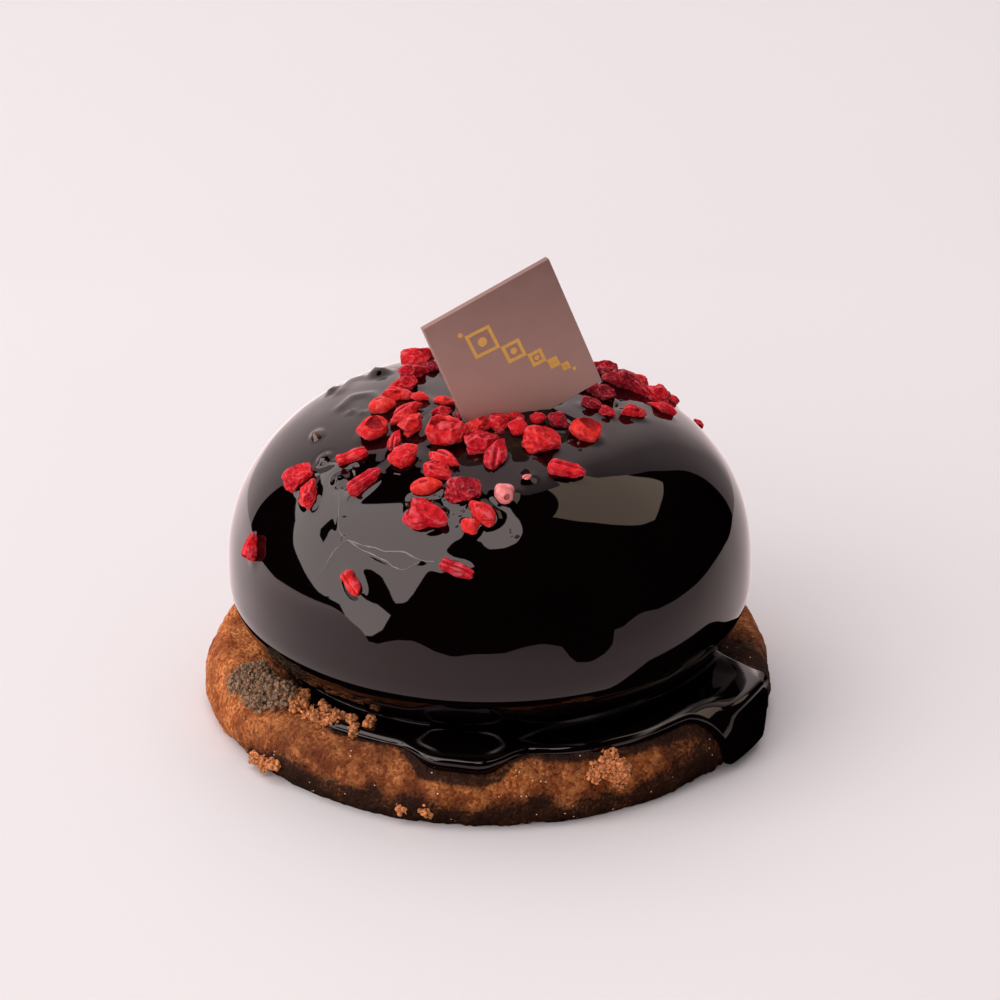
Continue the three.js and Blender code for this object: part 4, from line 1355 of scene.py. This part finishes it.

# %% [markdown]
# Freeze-dried fruit is dry and open, so it has no gloss. Its colour comes from
# the skin, which is deep red, the flesh, which is brighter, and the torn
# membranes, which are pale. Each piece has its own tone from the plan, and the
# rims and folds were measured on the shapes, so the material can follow them:
# the folds are darkened with painted shade, and the rims are paled partly as
# torn flesh and partly as a painted highlight.

# %% Raspberry finish
def dried_raspberry():
    """Freeze-dried raspberry: a dry, open, powdery flesh that light goes a little way into.
    The eye gets saturated red without gloss, paler torn rims that are partly a painted highlight, and
    folds darkened with painted shade."""
    material, tree, place = new_material("freeze_dried_raspberry")
    tone = add_node(tree, "ShaderNodeAttribute", {"attribute_name": "tone"}).outputs["Fac"]
    rim = add_node(tree, "ShaderNodeAttribute", {"attribute_name": "rim"}).outputs["Fac"]
    flesh = add_node(tree, "ShaderNodeTexNoise", {}, {"Vector": place, "Scale": per_metre(0.9), "Detail": 4})
    grain = add_node(tree, "ShaderNodeTexNoise", {}, {"Vector": place, "Scale": per_metre(0.25), "Detail": 2})
    # the flesh is never one tone
    varied = add_node(tree, "ShaderNodeMath", {"operation": "MULTIPLY_ADD"},
                      {0: flesh.outputs[0], 1: 1.8, 2: tone})
    share = add_node(tree, "ShaderNodeMapRange", {}, {0: varied.outputs[0], 1: -0.1, 2: 2.9})
    reds = add_node(tree, "ShaderNodeValToRGB", {}, {0: share.outputs[0]})
    stops = reds.color_ramp.elements
    stops[0].color, stops[1].color = linear("#79051a"), linear("#f2a0a0")
    stops.new(0.33).color = linear("#cf0b20")
    stops.new(0.66).color = linear("#ea3426")
    patch = add_node(tree, "ShaderNodeMapRange", {}, {0: flesh.outputs[0], 1: 0.3, 2: 0.7, 3: 0.80, 4: 1.22})
    mottled = add_node(tree, "ShaderNodeVectorMath", {"operation": "SCALE"},
                       {0: reds.outputs[0], "Scale": patch.outputs[0]})
    # partly painted highlight: where the rim value is high the colour is paled towards coral, for torn flesh
    # and for light on the edges
    torn = add_node(tree, "ShaderNodeMapRange", {}, {0: rim, 1: 0.60, 2: 0.95, 4: 0.50})
    rims = add_node(tree, "ShaderNodeMix", {"data_type": "RGBA"},
                    {0: torn.outputs[0], 6: mottled.outputs[0], 7: linear("#f0727a")})
    # painted shade: where the rim value is low the folds are darkened towards deep crimson
    fold = add_node(tree, "ShaderNodeMapRange", {}, {0: rim, 1: 0.44, 2: 0.15, 4: 0.7})
    folds = add_node(tree, "ShaderNodeMix", {"data_type": "RGBA"},
                     {0: fold.outputs[0], 6: rims.outputs[2], 7: linear("#6e0412")})
    # fine pale lines, where thin membranes are torn
    fibres = add_node(tree, "ShaderNodeTexNoise", {},
                      {"Vector": place, "Scale": per_metre(0.7), "Detail": 2})
    off = add_node(tree, "ShaderNodeMath", {"operation": "SUBTRACT"}, {0: fibres.outputs[0], 1: 0.5})
    off = add_node(tree, "ShaderNodeMath", {"operation": "ABSOLUTE"}, {0: off.outputs[0]})
    line = add_node(tree, "ShaderNodeMapRange", {}, {0: off.outputs[0], 1: 0.004, 2: 0.03, 3: 0.22, 4: 0.0})
    lined = add_node(tree, "ShaderNodeMix", {"data_type": "RGBA"},
                     {0: line.outputs[0], 6: folds.outputs[2], 7: linear("#f0727a")})
    height = add_node(tree, "ShaderNodeMath", {"operation": "ADD"}, {0: grain.outputs[0], 1: line.outputs[0]})
    bump = add_node(tree, "ShaderNodeBump", {},
                    {"Strength": 0.8, "Distance": 0.00016, "Height": height.outputs[0]})
    shader = add_node(tree, "ShaderNodeBsdfPrincipled", {},
                      {"Base Color": lined.outputs[2], "Roughness": 0.8, "Specular IOR Level": 0.1,
                       "Subsurface Weight": 0.12, "Subsurface Scale": 0.0006,
                       "Subsurface Radius": (1.0, 0.25, 0.2), "Normal": bump.outputs[0]})
    add_node(tree, "ShaderNodeOutputMaterial", {}, {"Surface": shader.outputs[0]})
    return material


raspberry_finish = dried_raspberry()
print(raspberry_finish.name, "has", len(raspberry_finish.node_tree.nodes), "nodes")

# %% The raspberry pieces
centres, turns, sizes, which = [], [], [], []
for number, piece in enumerate(pieces):
    length, width, tall = half_sizes(piece)
    normal = dome_normal(piece["point"])
    centres.append(piece["point"] + normal * (tall - piece["size"] * piece_sunk))
    turns.append(stand_of(piece).to_euler()[:])
    sizes.append((length, width, tall))
    which.append(shape_numbers[piece["shape"], number % shape_copies])
raspberries = place_shapes("raspberry_pieces", centres, raspberry_shapes, which, turns, sizes,
                           raspberry_finish, [p["tint"] for p in pieces])
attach(raspberries, "root")
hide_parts("glazed_dome")

# %% [markdown]
# ## Loose crumbs
#
# Crumb broke off the biscuit's edge when the dome was set on it, and lies there
# in small heaps. Each heap is a few lumps, and each lump is clad with single
# grains, which is what makes crumb look like crumb. The heaps lie where the
# frame's do, but the second one is finer than the frame's.

# %% Where the crumbs lie
# bearing, spread, distance, spread, height, spread, size, how many, tone (0 grey, 1 orange)
crumb_heaps = [(-61, 8, 34.6, 1.5, 8.9, 1.0, 3.2, 14, 0.0), (-45, 16, 32.5, 1.5, 9.2, 0.6, 1.3, 56, 1.0),
               (25, 5, 37.0, 1.0, 5.6, 2.2, 2.6, 10, 1.0), (-51, 4, 38.0, 0.5, 1.9, 0.6, 1.9, 4, 1.1),
               (-14, 3, 38.0, 0.4, 2.4, 0.6, 1.7, 3, 0.9)]
grains_per_area = 17       # on a lump, for each square millimetre of its size
grain_least, grain_most = 0.13, 0.36


def crumb_plan():
    """Places, half sizes and tones of all lumps and grains, and the generator that the turns come from."""
    draw = make_random(7)

    def spread(reach):
        return (draw() * 2 - 1) * reach
    chance = np.random.default_rng(17)
    points, sizes, tones = [], [], []
    for bearing, turn, out, depth, height, heap, size, count, tone in crumb_heaps:
        for _ in range(count):
            b = bearing + spread(turn)
            o = out + spread(depth)
            centre = on_bearing(o, b, height + spread(heap))
            radius = size / 2 * (0.7 + 0.6 * draw())
            for _ in range(12):      # the frame draws one more for each corner of a lump
                draw()
            points.append(centre)
            sizes.append([radius * 0.80] * 3)
            tones.append(tone)
            for _ in range(round(grains_per_area * size ** 2)):
                way = chance.normal(size=3)
                way /= np.linalg.norm(way)
                points.append(centre + way * radius * chance.uniform(0.70, 1.15))
                sizes.append(chance.uniform(grain_least, grain_most) * chance.uniform(0.75, 1.25, 3))
                tones.append(tone + chance.normal() * 0.12)
    return np.array(points), np.array(sizes), tones, chance


crumb_points, crumb_sizes, crumb_tones, chance = crumb_plan()
print(len(crumb_points), "lumps and grains")

# %% Crumbs
def loose_crumb():
    """Broken baked crumb: dry and matt, rougher and paler than the crust, greyed by cocoa in one heap."""
    material, tree, place = new_material("loose_crumb")
    tone = add_node(tree, "ShaderNodeAttribute", {"attribute_name": "tone"}).outputs["Fac"]
    speck = add_node(tree, "ShaderNodeTexNoise", {}, {"Vector": place, "Scale": per_metre(0.5), "Detail": 3})
    hue = add_node(tree, "ShaderNodeMix", {"data_type": "RGBA"},
                   {0: tone, 6: linear("#95775f"), 7: linear("#e0905a")})
    bright = add_node(tree, "ShaderNodeMapRange", {},
                      {0: speck.outputs[0], 1: 0.32, 2: 0.68, 3: 0.35, 4: 1.3})
    colour = add_node(tree, "ShaderNodeVectorMath", {"operation": "SCALE"},
                      {0: hue.outputs[2], "Scale": bright.outputs[0]})
    bump = add_node(tree, "ShaderNodeBump", {},
                    {"Strength": 0.7, "Distance": 0.00015, "Height": speck.outputs[0]})
    shader = add_node(tree, "ShaderNodeBsdfPrincipled", {},
                      {"Base Color": colour.outputs[0], "Roughness": 0.85, "Specular IOR Level": 0.2,
                       "Normal": bump.outputs[0]})
    add_node(tree, "ShaderNodeOutputMaterial", {}, {"Surface": shader.outputs[0]})
    return material


def chip(number):
    """A chip with twenty flat sides, each chip with its own corners."""
    points, faces = ball(1)
    random = np.random.default_rng(500 + number)
    points = points * random.uniform(0.72, 1.22, (len(points), 1))
    return make_mesh(f"chip_{number}", points, faces, [], smooth=False)


chip_kinds, whole_turn = 6, 6.28     # radians
crumb_turns = chance.uniform(0, whole_turn, (len(crumb_points), 3))
crumb_chips = [chip(number) for number in range(chip_kinds)]
crumbs = place_shapes("biscuit_crumbs", crumb_points, crumb_chips,
                      chance.integers(0, chip_kinds, len(crumb_points)), crumb_turns, crumb_sizes,
                      loose_crumb(), crumb_tones)
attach(crumbs, "root")
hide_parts("biscuit_base")

# %% [markdown]
# Small flakes of dark chocolate also fell on the wet glaze, between the raspberry
# pieces. They are too small to count, so they are strewn round a few places.

# %% Chocolate flakes
# across, forward, spread and how many
flake_places = [(-19.0, 15.4, 1.1, 12), (-18.6, 12.8, 1.3, 7), (-7.4, 23.4, 2.6, 24), (-3.0, 24.4, 2.0, 14),
                (-9.4, 5.0, 2.2, 12), (-4.4, 9.4, 2.4, 14), (-2.2, 13.2, 2.2, 9), (6.4, 15.2, 1.6, 6),
                (10.4, 12.6, 2.0, 6), (3.0, 27.4, 0.7, 5), (16.0, 0.0, 2.5, 8)]
flake_least, flake_most = 0.12, 0.42


def dark_flake():
    """Dark chocolate flake, IOR 1.45: brown-black with a satin break."""
    material, tree, place = new_material("dark_chocolate_flake")
    speck = add_node(tree, "ShaderNodeTexNoise", {}, {"Vector": place, "Scale": per_metre(0.6), "Detail": 3})
    colour = add_node(tree, "ShaderNodeMix", {"data_type": "RGBA"},
                      {0: speck.outputs[0], 6: linear("#120706"), 7: linear("#4a2c24")})
    shader = add_node(tree, "ShaderNodeBsdfPrincipled", {},
                      {"Base Color": colour.outputs[2], "Roughness": 0.35, "IOR": 1.45})
    add_node(tree, "ShaderNodeOutputMaterial", {}, {"Surface": shader.outputs[0]})
    return material


chance = np.random.default_rng(23)
flake_points, flake_sizes = [], []
for across, forward, spread, count in flake_places:
    for _ in range(count):
        point = on_dome(across + chance.normal() * spread * 0.6, forward + chance.normal() * spread * 0.6)
        flake_points.append(point)
        flake_sizes.append(chance.uniform(flake_least, flake_most) * chance.uniform(0.5, 1.2, 3))
flake_chips = [chip(number) for number in range(chip_kinds, 2 * chip_kinds)]
which = chance.integers(0, chip_kinds, len(flake_points))
flake_turns = chance.uniform(0, whole_turn, (len(flake_points), 3))
flakes = place_shapes("chocolate_flakes", flake_points, flake_chips, which, flake_turns,
                      flake_sizes, dark_flake(), [0] * len(flake_points))
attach(flakes, "root")
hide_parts("glazed_dome")

# %% [markdown]
# ## The plaque
#
# The plaque is a thin square of milk chocolate. It was spread on a printed
# sheet, cut and peeled off, so its face is smooth and satin, its edges are cut
# clean and its print lies flush. A cube with bevelled edges is all it needs.

# %% The plaque
plaque_bevel = 0.10
paling_top, paling_foot = 0.064, 0.047      # metres above the table, as the material's place is


def milk_chocolate():
    """Milk chocolate set on a plastic sheet: a satin face with a faint bloom, IOR 1.45."""
    material, tree, place = new_material("milk_chocolate")
    bloom = add_node(tree, "ShaderNodeTexNoise", {}, {"Vector": place, "Scale": per_metre(2.5), "Detail": 5})
    fine = add_node(tree, "ShaderNodeTexNoise", {}, {"Vector": place, "Scale": per_metre(0.3), "Detail": 2})
    # the colour grows paler towards the plaque's foot, on top of the bloom
    height = add_node(tree, "ShaderNodeSeparateXYZ", {}, {0: place}).outputs["Z"]
    foot_paling = add_node(tree, "ShaderNodeMapRange", {}, {0: height, 1: paling_top, 2: paling_foot})
    share = add_node(tree, "ShaderNodeMath", {"operation": "MULTIPLY_ADD"},
                     {0: bloom.outputs[0], 1: 0.24, 2: foot_paling.outputs[0]})
    colour = add_node(tree, "ShaderNodeMix", {"data_type": "RGBA"},
                      {0: share.outputs[0], 6: linear("#825f59"), 7: linear("#ae867d")})
    haze = add_node(tree, "ShaderNodeMapRange", {}, {0: bloom.outputs[0], 3: 0.42, 4: 0.58})
    bump = add_node(tree, "ShaderNodeBump", {},
                    {"Strength": 0.25, "Distance": 0.00004, "Height": fine.outputs[0]})
    shader = add_node(tree, "ShaderNodeBsdfPrincipled", {},
                      {"Base Color": colour.outputs[2], "Roughness": haze.outputs[0], "IOR": 1.45,
                       "Specular IOR Level": 0.4, "Normal": bump.outputs[0]})
    add_node(tree, "ShaderNodeOutputMaterial", {}, {"Surface": shader.outputs[0]})
    return material


def chocolate_plaque():
    """A bevelled square, turned and set into the top of the dome."""
    work = bmesh.new()
    bmesh.ops.create_cube(work, size=1)
    bmesh.ops.scale(work, verts=work.verts, vec=(plaque_side, plaque_side, plaque_thickness))
    bmesh.ops.translate(work, verts=work.verts, vec=(0, 0, -plaque_thickness / 2))
    bmesh.ops.bevel(work, geom=work.edges[:], offset=plaque_bevel, segments=3, profile=0.6, affect="EDGES")
    bmesh.ops.transform(work, matrix=plaque_place, verts=work.verts)
    bmesh.ops.scale(work, verts=work.verts, vec=(MILLIMETRE,) * 3)
    mesh = bpy.data.meshes.new("printed_plaque")
    work.to_mesh(mesh)
    work.free()
    mesh.materials.append(milk_chocolate())
    mesh.shade_smooth()
    mesh.set_sharp_from_angle(angle=math.radians(50))
    piece = bpy.data.objects.new("printed_plaque", mesh)
    bpy.context.scene.collection.objects.link(piece)
    return piece


plaque = chocolate_plaque()
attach(plaque, "root")
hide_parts("chocolate_plaque")
print("plaque", len(plaque.data.polygons), "faces")

# %% [markdown]
# Gold cocoa butter is printed on the sheet that the chocolate is spread on, and
# comes off with it. The print is a plain band of open lozenges and dots along
# the square's level diagonal. Its motifs are thin tiles, half sunk in the face,
# which the same Geometry Nodes tree puts in place.

# %% Gold print
# middle and half length of each motif along the diagonal from the print's middle, in millimetres
print_middle = (0.35, 0.45)
print_lozenges = [(-4.8, 2.7), (-0.1, 2.0), (3.4, 1.5), (5.95, 1.05), (7.8, 0.8)]
print_dots = [(-8.1, 0.35), (9.1, 0.28)]
print_thick, stroke = 0.04, 0.46
centre_dot_share = 0.24    # of the lozenge that it lies in


def gold_transfer():
    """Gold cocoa-butter transfer: flat metallic powder in fat, satin, a little uneven."""
    material, tree, place = new_material("gold_transfer")
    powder = add_node(tree, "ShaderNodeTexNoise", {}, {"Vector": place, "Scale": per_metre(0.4), "Detail": 3})
    colour = add_node(tree, "ShaderNodeMix", {"data_type": "RGBA"},
                      {0: powder.outputs[0], 6: linear("#dc9c48"), 7: linear("#f4c264")})
    shader = add_node(tree, "ShaderNodeBsdfPrincipled", {},
                      {"Base Color": colour.outputs[2], "Metallic": 0.15, "Roughness": 0.5})
    add_node(tree, "ShaderNodeOutputMaterial", {}, {"Surface": shader.outputs[0]})
    return material


def flat_tile(name, outline):
    """A thin tile of a given outline, with its faces closed."""
    count = len(outline)
    low, high = [(x, y, -1) for x, y in outline], [(x, y, 1) for x, y in outline]
    sides = [[i, (i + 1) % count, count + (i + 1) % count, count + i] for i in range(count)]
    faces = [list(range(count))[::-1], [count + i for i in range(count)]] + sides
    return make_mesh(name, np.array(low + high, float), faces, [], smooth=False)


def open_tile(name, outline, inner_share):
    """The same with a hole of the same shape in its middle."""
    outline = np.array(outline)
    count = len(outline)
    loops = [np.column_stack([outline * share, np.full(count, z)])
             for share, z in ((1, -1), (1, 1), (inner_share, 1), (inner_share, -1))]
    faces = [[a * count + i, a * count + (i + 1) % count, b * count + (i + 1) % count, b * count + i]
             for a, b in ((0, 1), (1, 2), (2, 3), (3, 0)) for i in range(count)]
    return make_mesh(name, np.vstack(loops), faces, [], smooth=False)


lozenge = [(1.0, 0), (0, 0.9), (-1.0, 0), (0, -0.9)]
dot = [(math.cos(a), math.sin(a)) for a in np.linspace(0, 2 * math.pi, 17)[:-1]]
along = np.array([1, -1, 0]) / math.sqrt(2)
motifs = [(at, half, number) for number, (at, half) in enumerate(print_lozenges)]
motifs += [(at, half, len(print_lozenges)) for at, half in print_dots]
motifs += [(at, half * centre_dot_share, len(print_lozenges)) for at, half in print_lozenges]
spots = [(plaque_place @ Vector(np.array([*print_middle, 0]) + along * at))[:] for at, half, kind in motifs]
print_shapes = [open_tile(f"lozenge_{number}", lozenge, 1 - stroke / (half * 0.67))
                for number, (at, half) in enumerate(print_lozenges)] + [flat_tile("dot", dot)]
turn = (plaque_place.to_3x3() @ Matrix.Rotation(-math.pi / 4, 3, "Z")).to_euler()[:]
which = [kind for at, half, kind in motifs]
sizes = [(half, half, print_thick) for at, half, kind in motifs]
gold = place_shapes("gold_print", spots, print_shapes, which, [turn] * len(motifs), sizes,
                    gold_transfer(), [0] * len(motifs))
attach(gold, "root")
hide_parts("chocolate_plaque")
